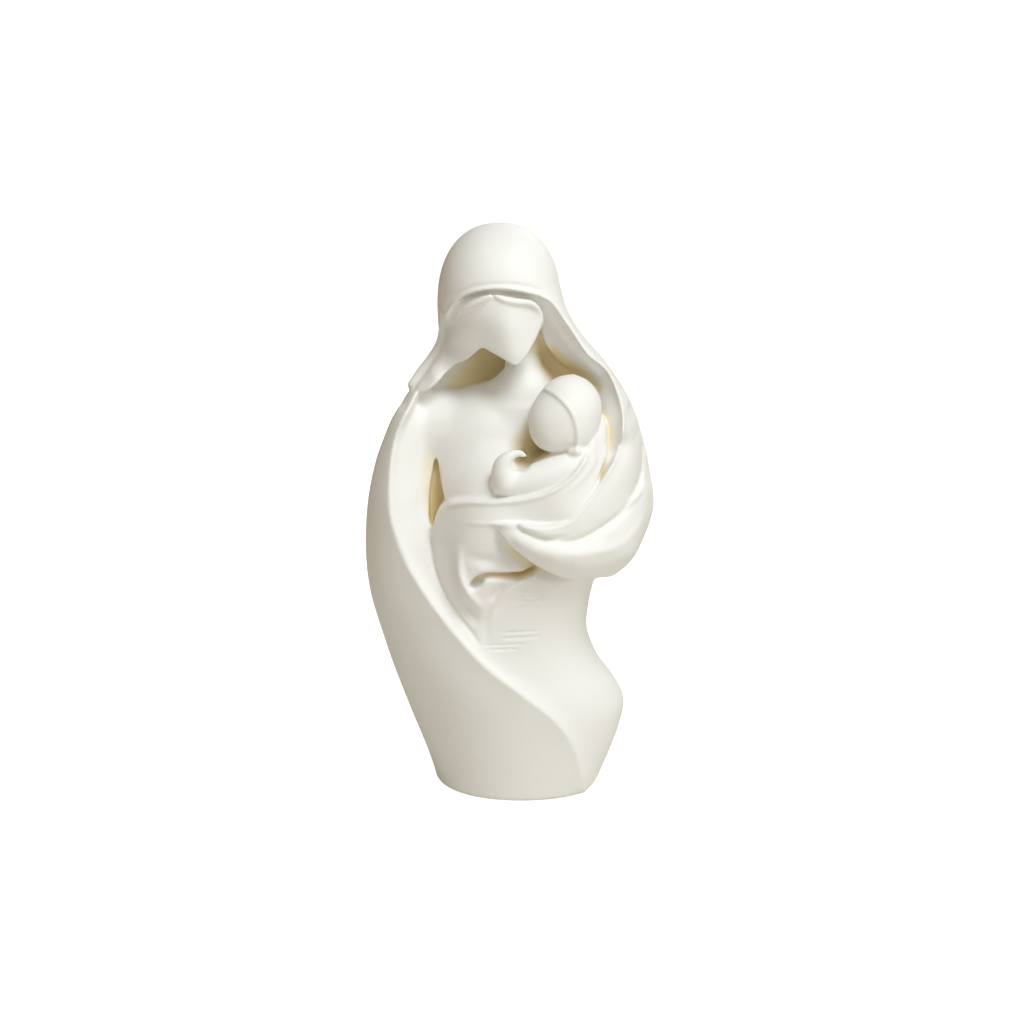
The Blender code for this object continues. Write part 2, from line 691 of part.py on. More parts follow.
def under_hand():
    """The deep shade between the hand and the cloth under it."""
    return limb([
        (-5, 46.8, 117.8, 1.8), (0, 42.4, 112.6, 4.4), (7, 39.4, 106.8, 4.8), (14, 38, 102, 4.2),
        (22, 37, 98, 2),
    ])


def thumb():
    return limb([
        (3.4, 49.4, 124.2, 0.8), (6.2, 49.8, 122.8, 1.3), (10, 49.4, 121.4, 1.6),
        (14.5, 48, 120.6, 2.0), (19, 45.6, 120.8, 2.4), (24, 42, 121.6, 2.4),
    ])


SLEEVE_CREASE = [
    (54.4, 152), (54.6, 142.5), (53.2, 135.4), (50, 129), (45, 124.4), (38, 120.4), (32, 117.6),
    (25, 115.7), (18, 115),
]
SLEEVE_RIDGE = [
    (56.6, 125), (53.6, 119.6), (49.4, 115), (43.4, 112), (35.7, 111.2), (25.4, 111.6),
    (16, 114),
]
CLOAK_RIDGE = [
    (-37.5, 174.5), (-43.2, 165.5), (-47.6, 156), (-49.9, 146), (-50.7, 133.3), (-49.9, 123),
    (-44.4, 106.7), (-34.9, 91.4), (-23.4, 75.8), (-10.3, 61.3), (5, 48.9), (18.8, 36.8), (26.5, 23.8),
    (30.4, 8), (31.4, -4),
]


def model_clay(step_size):
    clay = Clay(step_size)
    clay.add(skirt())
    clay.add(cloak(), 2.0)
    clay.add(hood(), 4.0)
    clay.press(*beside_face(), 5.0)
    clay.press(*upper_arm(), 3.0)
    clay.stroke(CLOAK_RIDGE[::-1], crest(3.4, 24, 3.4, 0.04), 4, 14)
    clay.stroke(CLOAK_RIDGE[:5:-1], crest(1.1, 5, 0.9, 0.1, 0.4), 4, 14)
    clay.press(*beside_sleeve(), 3.0)
    clay.press(*sleeve_side(), 3.0)
    clay.cut(front_hollow(), 0.8)
    clay.stroke(HOOD_HEM, furrow(-0.8, 0.6, 0.1), 10, 8)
    for form in breast():
        clay.add(form, 5.0)
    clay.cut(arm_gap(), 0.6)
    clay.add(neck(), 7.0)
    clay.add(inner_veil(), 1.0)
    clay.stroke(INNER_FOLD, furrow(1.8, 2.2, 0.3), 2, 6)
    clay.add(face(), 1.0)
    clay.add(veil_side(), 2.0)
    for lock in hair():
        clay.add(lock, 0.8)
    clay.add(bundle(), 0.6)
    clay.stroke(BUNDLE_SIDE, furrow(-1.0, 0.8, 0.1), 20, 6)
    clay.stroke(BLANKET_RIM, furrow(1.2, 1.0, 0.08), 24, 6)
    clay.add(baby_body(), 1.5)
    clay.add(baby_arm(), 1.0)
    clay.add(egg((34, 23.6, 146), (6, 7, 7)), 3.0)
    clay.add(baby_fist(), 1.0)
    clay.cut(fist_hole(), 0.8)
    clay.add(veil_fold(), 0.8)
    skull, nape, cheeks, ear = baby_head()
    head = Clay.joined(Clay.joined(skull, nape, 2.0), cheeks, 4.0)
    clay.add(head, 0.4)
    clay.add(ear, 1.0)
    clay.cut(under_hand(), 2.0)
    clay.add(hand_and_sleeve(), 0.8)
    clay.add(thumb(), 0.8)
    clay.stroke(CAP_LINE, step(0.6, 7, 0.9, 0.06), 26, 4)
    clay.stroke(CAP_LINE, furrow(0.55, 0.9, 0.06), 26, 4)
    clay.stroke(VEIL_EDGE[1:], furrow(0.75, 0.75, 0.06), 10, 6)
    clay.stroke(SLEEVE_CREASE, furrow(-1.4, 1.3, 0.1), 2, 6)
    clay.stroke(SLEEVE_RIDGE, furrow(0.8, 2.0, 0.25), 2, 6)
    shape_folds(clay)
    clay.soften()
    foot = -clay.axes[2][None, None, :]
    clay.values = smooth_max(clay.values, foot, 2.0).astype(np.float32)
    return clay


def shape_folds(clay):
    """The folds below the hand, thin rims, and the long folds down the back."""
    slit = [
        (-15.5, 97.9), (-13, 100), (-9, 100.9), (-2.8, 100.2), (3.3, 99.8), (7.3, 101), (9.8, 102.9),
    ]
    clay.stroke(slit, furrow(-6.0, 1.0, 0.2), 20, 8)
    clay.cut(egg((-14.6, 43, 97.8), (4.2, 7, 2.2), -40), 1.2)
    above_slit = [(-18, 107.6), (-14.4, 108.2), (-9, 107.4), (-3, 106)]
    clay.stroke(above_slit, furrow(-1.2, 2.2, 0.5), 20, 8)
    roll = [(-21, 114), (-21.8, 107), (-21.2, 100), (-18.6, 94), (-14.9, 89), (-10.6, 84.6)]
    clay.stroke(roll, furrow(2.3, 2.0, 0.5), 20, 8)
    beside_roll = [(-20.6, 91), (-18.9, 87), (-16.4, 82.7), (-14, 78)]
    clay.stroke(beside_roll, furrow(-1.6, 2.2, 0.5), 20, 8)
    lap_edge = [(9.8, 102), (3.3, 97.4), (-3.3, 92.1), (-7, 86.6), (-8.9, 79.3)]
    clay.stroke(lap_edge, furrow(1.3, 1.2, 0.4), 20, 8)
    under_lap = [(-2.6, 97), (-6.6, 93), (-9.6, 89)]
    clay.stroke(under_lap, furrow(-1.4, 1.8, 0.5), 20, 8)
    clay.stroke(VALLEY_LINE, furrow(-0.9, 0.6, 0.2), 20, 8)
    for rim in THIN_RIMS:
        clay.stroke(rim, furrow(0.55, 0.6, 0.15), 2, 4)
    for path, depth, width in BACK_FOLDS:
        clay.stroke(path, furrow(-depth, width, 0.35), 4, 16, facing=-1)
        beside_it = [(x + 2.2 * width, z) for x, z in path]
        clay.stroke(beside_it, furrow(0.6 * depth, width, 0.4), 4, 16, facing=-1)


VALLEY_LINE = [(38.6, 146.5), (36.6, 141.8), (33.4, 136.2), (29, 130.8), (24.6, 126), (20.6, 123.6)]
THIN_RIMS = [
    [(-12.2, 191.4), (-7.4, 189.2), (-2, 186.5), (1.2, 185.3), (4.3, 186.7), (7.2, 191.2), (10.6, 197.4)],
    [(-5.2, 121), (-1.6, 117), (3.2, 112.6), (8.4, 108.2), (13.4, 104.6), (18.8, 101.6), (24, 99.7)],
    [(12.4, 196), (14.6, 191.2), (17.6, 187.2), (22.3, 182.8), (27, 180)],
]
BACK_FOLDS = [
    ([(-3, 198), (-10, 172), (-20, 140), (-26, 108), (-22, 76), (-10, 44), (4, 22)], 2.6, 5.0),
    ([(6, 192), (10, 166), (16, 136), (19, 112), (14, 88), (6, 70)], 2.2, 4.6),
    ([(-18, 178), (-32, 148), (-41, 118), (-41, 88), (-31, 58), (-18, 36)], 2.0, 4.4),
    ([(18, 176), (30, 150), (38, 128), (38, 112)], 1.8, 4.0),
]


# From clay to a Blender object


def skin_nodes(clay):
    """A node group that turns the sampled values of the block into a closed mesh."""
    group = bpy.data.node_groups.new("skin", "GeometryNodeTree")
    group.interface.new_socket("Geometry", in_out="INPUT", socket_type="NodeSocketGeometry")
    group.interface.new_socket("Geometry", in_out="OUTPUT", socket_type="NodeSocketGeometry")
    nodes = group.nodes
    link = group.links.new
    counts = clay.values.shape
    low = [axis[0] for axis in clay.axes]

    def vector_math(operation, source, value):
        node = nodes.new("ShaderNodeVectorMath")
        node.operation = operation
        node.inputs[1].default_value = value
        link(source, node.inputs[0])
        return node.outputs

    place = nodes.new("GeometryNodeInputPosition").outputs[0]
    offset = vector_math("SUBTRACT", place, low)[0]
    cell = vector_math("DIVIDE", offset, (clay.step,) * 3)[0]
    nearest = vector_math("ADD", cell, (0.5,) * 3)[0]
    whole = nodes.new("ShaderNodeVectorMath")
    whole.operation = "FLOOR"
    link(nearest, whole.inputs[0])
    row = vector_math("DOT_PRODUCT", whole.outputs[0], (counts[1] * counts[2], counts[2], 1))[1]
    index = nodes.new("FunctionNodeFloatToInt")
    link(row, index.inputs[0])
    values = nodes.new("GeometryNodeInputNamedAttribute")
    values.data_type = "FLOAT"
    values.inputs["Name"].default_value = "clay"
    sample = nodes.new("GeometryNodeSampleIndex")
    source = nodes.new("NodeGroupInput")
    link(source.outputs[0], sample.inputs["Geometry"])
    link(values.outputs[0], sample.inputs["Value"])
    link(index.outputs[0], sample.inputs["Index"])
    volume = nodes.new("GeometryNodeVolumeCube")
    volume.inputs["Background"].default_value = -AIR
    volume.inputs["Min"].default_value = low
    volume.inputs["Max"].default_value = [axis[-1] for axis in clay.axes]
    for name, count in zip("XYZ", counts):
        volume.inputs["Resolution " + name].default_value = count
    link(sample.outputs[0], volume.inputs["Density"])
    mesh = nodes.new("GeometryNodeVolumeToMesh")
    mesh.inputs["Threshold"].default_value = 0.0
    link(volume.outputs[0], mesh.inputs["Volume"])
    result = nodes.new("NodeGroupOutput")
    link(mesh.outputs[0], result.inputs[0])
    return group


def evaluated_mesh(obj):
    graph = bpy.context.evaluated_depsgraph_get()
    return bpy.data.meshes.new_from_object(obj.evaluated_get(graph))


def skin(clay, name):
    """The mesh of the block's surface, in metres, with +Y to the back."""
    points = bpy.data.meshes.new("block")
    points.vertices.add(clay.values.size)
    points.attributes.new("clay", "FLOAT", "POINT").data.foreach_set("value", -clay.values.ravel())
    block = bpy.data.objects.new("block", points)
    bpy.context.scene.collection.objects.link(block)
    block.modifiers.new("skin", "NODES").node_group = skin_nodes(clay)
    mesh = evaluated_mesh(block)
    bpy.data.objects.remove(block)
    mesh.name = name
    mesh.materials.clear()
    places = np.empty(len(mesh.vertices) * 3, np.float32)
    mesh.vertices.foreach_get("co", places)
    places = places.reshape(-1, 3) * (1, -1, 1) * HEIGHT / SHARES
    mesh.vertices.foreach_set("co", places.ravel())
    mesh.flip_normals()
    return mesh


def cast_material():
    material = bpy.data.materials.new("cream_cast")
    material.use_nodes = True
    shader = material.node_tree.nodes["Principled BSDF"]
    shader.inputs["Base Color"].default_value = CREAM
    shader.inputs["Roughness"].default_value = SATIN
    shader.inputs["Metallic"].default_value = 0.0
    return material


def main():
    for obj in list(bpy.data.objects):
        bpy.data.objects.remove(obj)
    collection = bpy.data.collections.new("mother and child")
    bpy.context.scene.collection.children.link(collection)
    mesh = skin(model_clay(CLAY_STEP), NAME)
    figure = bpy.data.objects.new(NAME, mesh)
    collection.objects.link(figure)
    mesh.calc_loop_triangles()
    fewer = figure.modifiers.new("fewer faces", "DECIMATE")
    fewer.ratio = TRIANGLES / len(mesh.loop_triangles)
    mesh.materials.append(cast_material())
    mesh.shade_smooth()


main()
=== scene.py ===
"""The looks of the mother and child: one cream-white casting on a pale studio floor.

The figure's fine form is modelled here again like clay, with the same forms, strokes and named places as
the solid, sampled more closely, and then the small things are added that only a close look shows.

Places are (x, front, z): x to the viewer's right, front towards the viewer, z up, all in shares.
One share is a 240th of the figure's height, so a share is a millimetre on the real figure.
"""

import math

import bpy
import numpy as np
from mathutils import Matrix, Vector


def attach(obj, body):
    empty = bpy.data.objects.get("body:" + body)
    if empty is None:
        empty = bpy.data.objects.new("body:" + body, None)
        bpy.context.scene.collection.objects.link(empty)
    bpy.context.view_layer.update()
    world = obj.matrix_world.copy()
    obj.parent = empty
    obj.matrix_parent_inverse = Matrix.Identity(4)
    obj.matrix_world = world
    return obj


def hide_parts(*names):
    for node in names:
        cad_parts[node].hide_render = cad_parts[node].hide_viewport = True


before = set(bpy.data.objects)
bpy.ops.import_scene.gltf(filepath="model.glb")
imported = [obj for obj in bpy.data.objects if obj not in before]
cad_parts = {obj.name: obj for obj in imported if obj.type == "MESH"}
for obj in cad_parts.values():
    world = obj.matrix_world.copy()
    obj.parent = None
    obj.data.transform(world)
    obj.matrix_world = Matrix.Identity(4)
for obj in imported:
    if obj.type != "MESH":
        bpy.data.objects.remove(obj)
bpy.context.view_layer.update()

HEIGHT = 0.240  # from the stand to the top of the hood
SHARES = 240  # shares in the height
FINE_STEP = 0.6  # shares between the sampled points of the block
FINE_TRIANGLES = 190000  # faces of the finished casting
NAME = "cast_figure"

# The block of clay. It holds fewer than 16.7 million points, as many as a single float can number.
BLOCK_LOW = (-68.0, -52.0, -4.0)  # x, front and z of the block's corners
BLOCK_HIGH = (65.0, 56.0, 245.0)
AIR = 60.0  # value of a point far from any clay

# How forms and strokes are worked, in shares
BACK_POWER = 2.2  # of the sections at the back: 2 is an ellipse, more is squarer
END_ROUNDING = 3.0  # of the top and the bottom of a mass
FOOT_ROUNDING = 2.0  # where the foot meets the stand
HOLLOW_BACK = -40.0  # as far back as a hollow may be cut
STROKE_REACH = 20.0  # past the path of a stroke
PRESS_DEPTH = 8.0  # over which a press eases in from the figure's middle

# The casting's finish, and the shade painted into its folds
FOLD_REACH = 15.0  # shares round a point in which the clay is counted, to tell how deep in a fold it lies
FOLD_START = 0.63  # share of clay in reach at which the painted warm shade starts over the cream
# shares of clay in reach at which the painted shade is fully warm, and at which it is darkest
FOLD_SIDE = 0.76
FOLD_BOTTOM = 0.92
CREAM = (0.87, 0.862, 0.835, 1.0)
# Painted shade: the dim, warm light bounced between the cloths of a fold, darkest in the deepest folds
PAINTED_WARM_SHADE = (0.85, 0.74, 0.48, 1.0)
PAINTED_DEEP_SHADE = (0.70, 0.57, 0.32, 1.0)
CLOUD_SCALE = 38.0
CLOUD_SHADES = (0.975, 1.02)
CLOUD_ROUGHNESS = (0.50, 0.62)
GRAIN_SCALE = 1400.0
GRAIN_STRENGTH = 0.12
GRAIN_HEIGHT = 0.0002

# The studio
STUDIO_WHITE = (1.0, 1.0, 1.0, 1.0)
BACKDROP_WHITE = (1.05, 1.05, 1.05, 1.0)
COOL_WHITE = (0.89, 0.955, 1.0)
ROOM_GLOW = (0.315, 0.268, 0.200, 1.0)
FLOOR_CREAM = (0.78, 0.75, 0.69, 1.0)
FLOOR_GLOW = 0.88  # added where the camera sees the floor, so that it is as white as the backdrop
FLOOR_HALF = 3.0
LIGHT_AIM = 0.12  # height of the point that the lights face
CAMERA_REACH = 0.800  # from the camera to the point that it looks at
CAMERA_RISE = 13.0  # degrees above level
CAMERA_AIM = 0.11785  # height of the point that it looks at
CAMERA_LENS = 65.90  # millimetres
CAMERA_SENSOR = 36  # millimetres


# Curves and surfaces through a few points


def smooth_curve(points, closed=False, steps=8):
    """Points along a smooth curve through the given ones, steps of them to each span."""
    points = np.array(points, float)
    if closed:
        points = np.vstack([points[-1], points, points[0], points[1]])
    else:
        points = np.vstack([2 * points[0] - points[1], points, 2 * points[-1] - points[-2]])
    knots = np.concatenate([[0], np.cumsum(np.sqrt(np.linalg.norm(np.diff(points, axis=0), axis=1)))])
    slopes = np.diff(points, axis=0) / np.diff(knots)[:, None]
    weight = (np.diff(knots)[1:] / (knots[2:] - knots[:-2]))[:, None]
    tangents = weight * slopes[:-1] + (1 - weight) * slopes[1:]
    curve = []
    for i in range(1, len(points) - 2):
        span = knots[i + 1] - knots[i]
        for t in np.arange(steps) / steps:
            curve.append(
                (2 * t**3 - 3 * t**2 + 1) * points[i]
                + (t**3 - 2 * t**2 + t) * span * tangents[i - 1]
                + (3 * t**2 - 2 * t**3) * points[i + 1]
                + (t**3 - t**2) * span * tangents[i]
            )
    if not closed:
        curve.append(points[-2])
    return np.array(curve)


def along(height, knots):
    """A value that runs smoothly up the figure, from (z, value) knots in rising order."""
    curve = smooth_curve(knots)
    return np.interp(height, curve[:, 0], curve[:, 1])


def drape(points):
    """A function front(x, z) of the softest sheet through the given (x, front, z) points."""
    points = np.array(points, float)
    x, front, z = points.T
    count = len(points)

    def bend(square):
        return 0.5 * square * np.log(square + 1e-9)

    system = np.zeros((count + 3, count + 3))
    system[:count, :count] = bend((x[:, None] - x) ** 2 + (z[:, None] - z) ** 2)
    flat = np.stack([np.ones(count), x, z])
    system[count:, :count] = flat
    system[:count, count:] = flat.T
    weights = np.linalg.solve(system, np.concatenate([front, np.zeros(3)]))

    def sheet(across, height):
        found = weights[count] + weights[count + 1] * across + weights[count + 2] * height
        for i in range(count):
            found = found + weights[i] * bend((across - x[i]) ** 2 + (height - z[i]) ** 2)
        return found

    return sheet


def beside(curve, x, z):
    """How far (x, z) is from an open curve, above zero to its left, and how far along it that is."""
    nearest = np.full(np.broadcast(x, z).shape, np.inf)
    side = np.ones_like(nearest)
    share = np.zeros_like(nearest)
    steps = np.hypot(*np.diff(curve, axis=0).T)
    start = np.concatenate([[0], np.cumsum(steps)]) / steps.sum()
    for i, (a, b) in enumerate(zip(curve[:-1], curve[1:])):
        run = b - a
        t = np.clip(((x - a[0]) * run[0] + (z - a[1]) * run[1]) / (run @ run), 0, 1)
        away_x = x - a[0] - t * run[0]
        away_z = z - a[1] - t * run[1]
        far = np.hypot(away_x, away_z)
        closer = far < nearest
        nearest = np.where(closer, far, nearest)
        side = np.where(closer, np.sign(run[0] * away_z - run[1] * away_x), side)
        share = np.where(closer, start[i] + t * (start[i + 1] - start[i]), share)
    return nearest * side, share


def outside(curve, x, z):
    """Distance of (x, z) from a closed curve, below zero inside it."""
    nearest = np.full(np.broadcast(x, z).shape, np.inf)
    inside = np.zeros(nearest.shape, bool)
    for a, b in zip(curve, np.roll(curve, -1, axis=0)):
        run = b - a
        t = np.clip(((x - a[0]) * run[0] + (z - a[1]) * run[1]) / (run @ run), 0, 1)
        nearest = np.minimum(nearest, np.hypot(x - a[0] - t * run[0], z - a[1] - t * run[1]))
        if run[1]:
            crosses = (z >= min(a[1], b[1])) & (z < max(a[1], b[1]))
            inside ^= crosses & (x < a[0] + (z - a[1]) / run[1] * run[0])
    return np.where(inside, -nearest, nearest)


def smooth_min(a, b, blend):
    """The smaller of two values, with the change between them rounded over blend."""
    if not blend:
        return np.minimum(a, b)
    mix = np.clip(0.5 + 0.5 * (b - a) / blend, 0, 1)
    return b + (a - b) * mix - blend * mix * (1 - mix)


def smooth_max(a, b, blend):
    return -smooth_min(-a, -b, blend)


# The block of clay


class Form:
    """A body of clay: the box it fits in, and a function of x, front and z, below zero inside."""

    def __init__(self, low, high, field):
        self.low = low
        self.high = high
        self.field = field


class Clay:
    """A block of sampled points: below zero is clay, above zero air, by the distance to the surface."""

    MARGIN = 8.0  # worked round the box of a form

    def __init__(self, step):
        self.step = step
        self.axes = [np.arange(low, high, step) for low, high in zip(BLOCK_LOW, BLOCK_HIGH)]
        self.values = np.full([len(axis) for axis in self.axes], AIR, np.float32)

    def window(self, low, high):
        """The part of the block in a box, as slices, and the x, front and z of its points."""
        cut = []
        for axis, near, far in zip(self.axes, low, high):
            first, last = np.searchsorted(axis, [near - self.MARGIN, far + self.MARGIN])
            cut.append(slice(first, last))
        x, front, z = [axis[part] for axis, part in zip(self.axes, cut)]
        return tuple(cut), x[:, None, None], front[None, :, None], z[None, None, :]

    def add(self, form, blend=0.0):
        part, x, front, z = self.window(form.low, form.high)
        self.values[part] = smooth_min(self.values[part], form.field(x, front, z), blend)

    def cut(self, form, blend=0.0):
        part, x, front, z = self.window(form.low, form.high)
        self.values[part] = smooth_max(self.values[part], -form.field(x, front, z), blend)

    def stroke(self, path, profile, behind, ease, facing=1):
        """Raises the surface along an (x, z) path by profile(distance to its left, share along it).

        It works on the front, or on the back where facing is -1, no deeper than behind, and eases in
        over ease from there.
        """
        curve = smooth_curve(path)
        low = [curve[:, 0].min() - STROKE_REACH, behind, curve[:, 1].min() - STROKE_REACH]
        high = [curve[:, 0].max() + STROKE_REACH, BLOCK_HIGH[1], curve[:, 1].max() + STROKE_REACH]
        if facing < 0:
            low[1], high[1] = BLOCK_LOW[1], -behind
        part, x, front, z = self.window(low, high)
        rise = profile(*beside(curve, x, z))
        self.values[part] -= rise * np.clip((front * facing - behind) / ease, 0, 1)

    def press(self, outline, front, soft):
        """Brings the front to a surface inside an (x, z) outline, easing in from its rim over soft."""
        curve = smooth_curve(outline, closed=True)
        low = (curve[:, 0].min(), 0.0, curve[:, 1].min())
        high = (curve[:, 0].max(), BLOCK_HIGH[1], curve[:, 1].max())
        part, x, depth, z = self.window(low, high)
        surface = front(x, z)
        lift = (depth - surface) / steepness(surface, x, z)
        weight = np.clip(-outside(curve, x, z) / soft, 0, 1)
        weight = weight * weight * (3 - 2 * weight) * np.clip(depth / PRESS_DEPTH, 0, 1)
        self.values[part] += weight * (lift - self.values[part])

    def soften(self):
        """Evens out the surface over about one step, as sanding does."""
        for axis in range(3):
            sides = np.roll(self.values, 1, axis) + np.roll(self.values, -1, axis)
            self.values = (self.values / 2 + sides / 4).astype(np.float32)

    @staticmethod
    def joined(first, second, blend):
        """Two forms as one, run into each other."""
        low = np.minimum(first.low, second.low)
        high = np.maximum(first.high, second.high)

        def field(x, front, z):
            return smooth_min(first.field(x, front, z), second.field(x, front, z), blend)

        return Form(low, high, field)


def egg(centre, radii, lean=0.0, power=2.0):
    """An ellipsoid, leaning to the viewer's right by some degrees. A power over 2 makes it squarer."""
    turn = math.radians(lean)
    reach = max(radii)
    low = [c - reach for c in centre]
    high = [c + reach for c in centre]

    def field(x, front, z):
        across = (x - centre[0]) * math.cos(turn) - (z - centre[2]) * math.sin(turn)
        up = (x - centre[0]) * math.sin(turn) + (z - centre[2]) * math.cos(turn)
        deep = front - centre[1]
        shares = [np.abs(off / radius) ** power for off, radius in zip((across, deep, up), radii)]
        size = (shares[0] + shares[1] + shares[2]) ** (1 / power)
        slope = np.sqrt(
            (across / radii[0] ** 2) ** 2 + (deep / radii[1] ** 2) ** 2 + (up / radii[2] ** 2) ** 2
        )
        return size * (size - 1) / np.maximum(slope, 1e-6)

    return Form(low, high, field)


def limb(stations):
    """A round tapering body along (x, front, z, radius) stations."""
    spine = smooth_curve(stations, steps=4)
    reach = spine[:, 3].max()
    low = spine[:, :3].min(0) - reach
    high = spine[:, :3].max(0) + reach

    def field(x, front, z):
        nearest = np.inf
        for a, b in zip(spine[:-1], spine[1:]):
            run = b[:3] - a[:3]
            off_x = x - a[0]
            off_y = front - a[1]
            off_z = z - a[2]
            t = np.clip((off_x * run[0] + off_y * run[1] + off_z * run[2]) / (run @ run), 0, 1)
            gap = np.sqrt(
                (off_x - t * run[0]) ** 2 + (off_y - t * run[1]) ** 2 + (off_z - t * run[2]) ** 2
            )
            nearest = np.minimum(nearest, gap - a[3] - t * (b[3] - a[3]))
        return nearest

    return Form(low, high, field)


def steepness(surface, x, z):
    """How much longer the way straight to the front is than the shortest way to a surface."""
    across, up = np.gradient(surface[:, 0, :], x[1, 0, 0] - x[0, 0, 0], z[0, 0, 1] - z[0, 0, 0])
    return np.sqrt(1 + across**2 + up**2)[:, None, :]


def slab(outline, face, back, edge):
    """A body with a closed (x, z) outline, from back to the front surface face, its edge rounded."""
    curve = smooth_curve(outline, closed=True)
    low = (curve[:, 0].min(), back, curve[:, 1].min())
    high = (curve[:, 0].max(), BLOCK_HIGH[1], curve[:, 1].max())

    def field(x, front, z):
        rim = outside(curve, x, z)
        surface = face(x, z)
        lift = (front - surface) / steepness(surface, x, z)
        return smooth_max(smooth_max(lift, rim, edge), back - front, edge)

    return Form(low, high, field)


def hollow(outline, floor, edge):
    """What is cut away in front of floor(x, z), inside a closed (x, z) outline."""
    curve = smooth_curve(outline, closed=True)
    low = (curve[:, 0].min(), HOLLOW_BACK, curve[:, 1].min())
    high = (curve[:, 0].max(), BLOCK_HIGH[1], curve[:, 1].max())

    def field(x, front, z):
        surface = floor(x, z)
        return smooth_max(outside(curve, x, z), (surface - front) / steepness(surface, x, z), edge)

    return Form(low, high, field)


def mass(left, right, fore, aft, square):
    """A body of level oval sections, squarer to the front: all its numbers run up it by height."""
    bottom = left[0][0]
    top = left[-1][0]

    def field(x, front, z):
        west = along(z, left)
        east = along(z, right)
        near = along(z, fore)
        far = along(z, aft)
        middle = (west + east) / 2
        half = (east - west) / 2
        deep = np.where(front > 0, near, far)
        across = np.abs(x - middle)
        power = np.where(front > 0, along(z, square), BACK_POWER)
        size = ((across / half) ** power + (np.abs(front) / deep) ** power) ** (1 / power)
        gap = (size - 1) * np.hypot(across, front) / np.maximum(size, 0.5)
        return smooth_max(gap, smooth_max(bottom - z, z - top, 0), END_ROUNDING)

    low = (BLOCK_LOW[0], BLOCK_LOW[1], bottom)
    high = (BLOCK_HIGH[0], BLOCK_HIGH[1], top)
    return Form(low, high, field)


# Profiles of strokes


def step(rise, soft, crisp, fade=0.12):
    """A raised cloth edge: it swells up over soft on the left and drops over crisp on the right."""

    def profile(side, share):
        swell = np.exp(-((np.maximum(side, 0) / soft) ** 2))
        drop = np.clip(1 + side / crisp, 0, 1)
        return rise * np.where(side > 0, swell, drop * drop * (3 - 2 * drop)) * ends(share, fade)

    return profile


def crest(rise, left, right, fade=0.2, rounding=0.6):
    """A ridge that falls away over left on one side and over right on the other."""

    def profile(side, share):
        away = np.hypot(side, rounding) - rounding
        return rise * np.exp(-away / np.where(side > 0, left, right)) * ends(share, fade)

    return profile


def furrow(rise, width, fade=0.3):
    """A soft ridge, or a groove where rise is below zero."""

    def profile(side, share):
        return rise * np.exp(-((side / width) ** 2)) * ends(share, fade)

    return profile


def ends(share, fade):
    """1 along a stroke, easing to 0 over the share fade at both of its ends."""
    left = np.clip(np.minimum(share, 1 - share) / fade, 0, 1)
    return left * (2 - left)


# The figure's parts


def skirt():
    left = [
        (-9, -31), (0, -33), (12, -36.6), (35, -45.3), (60, -53.6), (85, -59.4), (106, -60.6), (118, -57),
        (125, -52),
    ]
    right = [
        (-9, 35), (0, 37.6), (13, 43), (24, 46.8), (35, 48.6), (43, 44.9), (53, 37.6), (67, 32.4),
        (80, 33), (100, 37), (125, 37),
    ]
    fore = [(-9, 32.5), (0, 33.5), (20, 35.5), (45, 37), (70, 37), (95, 36.5), (125, 36)]
    aft = [(-9, 31), (0, 32), (25, 35), (60, 39), (95, 41.4), (125, 38)]
    square = [(-9, 2.1), (30, 2.1), (60, 2.3), (85, 2.7), (125, 2.9)]
    return mass(left, right, fore, aft, square)


def cloak():
    left = [
        (70, -54.6), (85, -59.4), (106, -61.2), (125, -60), (142, -56.4), (154, -51.6), (161, -48.3),
        (166, -45.2), (172, -41.6), (180, -36), (190, -30.4), (200, -28.4), (210, -27), (218, -22),
        (224, -15),
    ]
    right = [
        (70, 28), (84, 31), (88.5, 35.5), (91.4, 40.5), (95.8, 47), (100.2, 52), (106, 55.8),
        (113, 58.4), (122, 60.3), (137, 58.4), (151, 55), (164, 50.7), (176, 44), (187, 35.2),
        (197, 27), (207, 21.4), (213, 18.4), (218, 14), (224, 6),
    ]
    fore = [
        (70, 35.4), (85, 36.7), (100, 38), (115, 40), (130, 40.5), (145, 37), (160, 32), (175, 29.5),
        (205, 29.5), (213, 28), (218, 25), (224, 18),
    ]
    aft = [
        (70, 39.5), (84, 41), (110, 43), (135, 43), (155, 41), (175, 38), (195, 34), (210, 28.5),
        (218, 23), (224, 16),
    ]
    square = [
        (70, 2.4), (84, 2.7), (110, 2.8), (140, 2.7), (152, 3.1), (162, 3.7), (172, 4), (200, 4),
        (208, 3.3), (218, 2.3), (224, 2.1),
    ]
    return with_rising_hem(mass(left, right, fore, aft, square))


def with_rising_hem(body):
    """The cloak's lower edge, which rises to the viewer's right, and more so the nearer the front."""
    lowest = 73
    rises_from, rises_over = 12, 18
    rise_at_side, rise_to_front = 15.6, 0.3
    edge = 1.5

    def field(x, front, z):
        share = np.clip((x - rises_from) / rises_over, 0, 1)
        hem = lowest + share * (rise_at_side + rise_to_front * np.clip(front, -10, 40))
        return smooth_max(body.field(x, front, z), hem - z, edge)

    return Form(body.low, body.high, field)


def hood():
    return egg((-5.4, -0.5, 207), (25.6, 31, 33), 0, 2.25)


VEIL_EDGE = [
    (-27.4, 199), (-25.6, 206), (-20.5, 212.6), (-8.8, 216.4), (3.2, 215.4), (14.5, 211.3),
    (21.9, 201.8), (30.1, 190), (39.6, 180.6), (44.9, 167), (45.1, 159.2), (41, 145.9), (33.2, 135.2),
    (23.4, 124.3), (14, 122.6), (0, 123.6), (-20, 123.4),
]
HOOD_HEM = [
    (-27.6, 205), (-26.4, 208.6), (-22.6, 212.8), (-16.8, 216.2), (-8.8, 217.8), (3.2, 217.2),
    (14.8, 213.2), (20.4, 206.6),
]


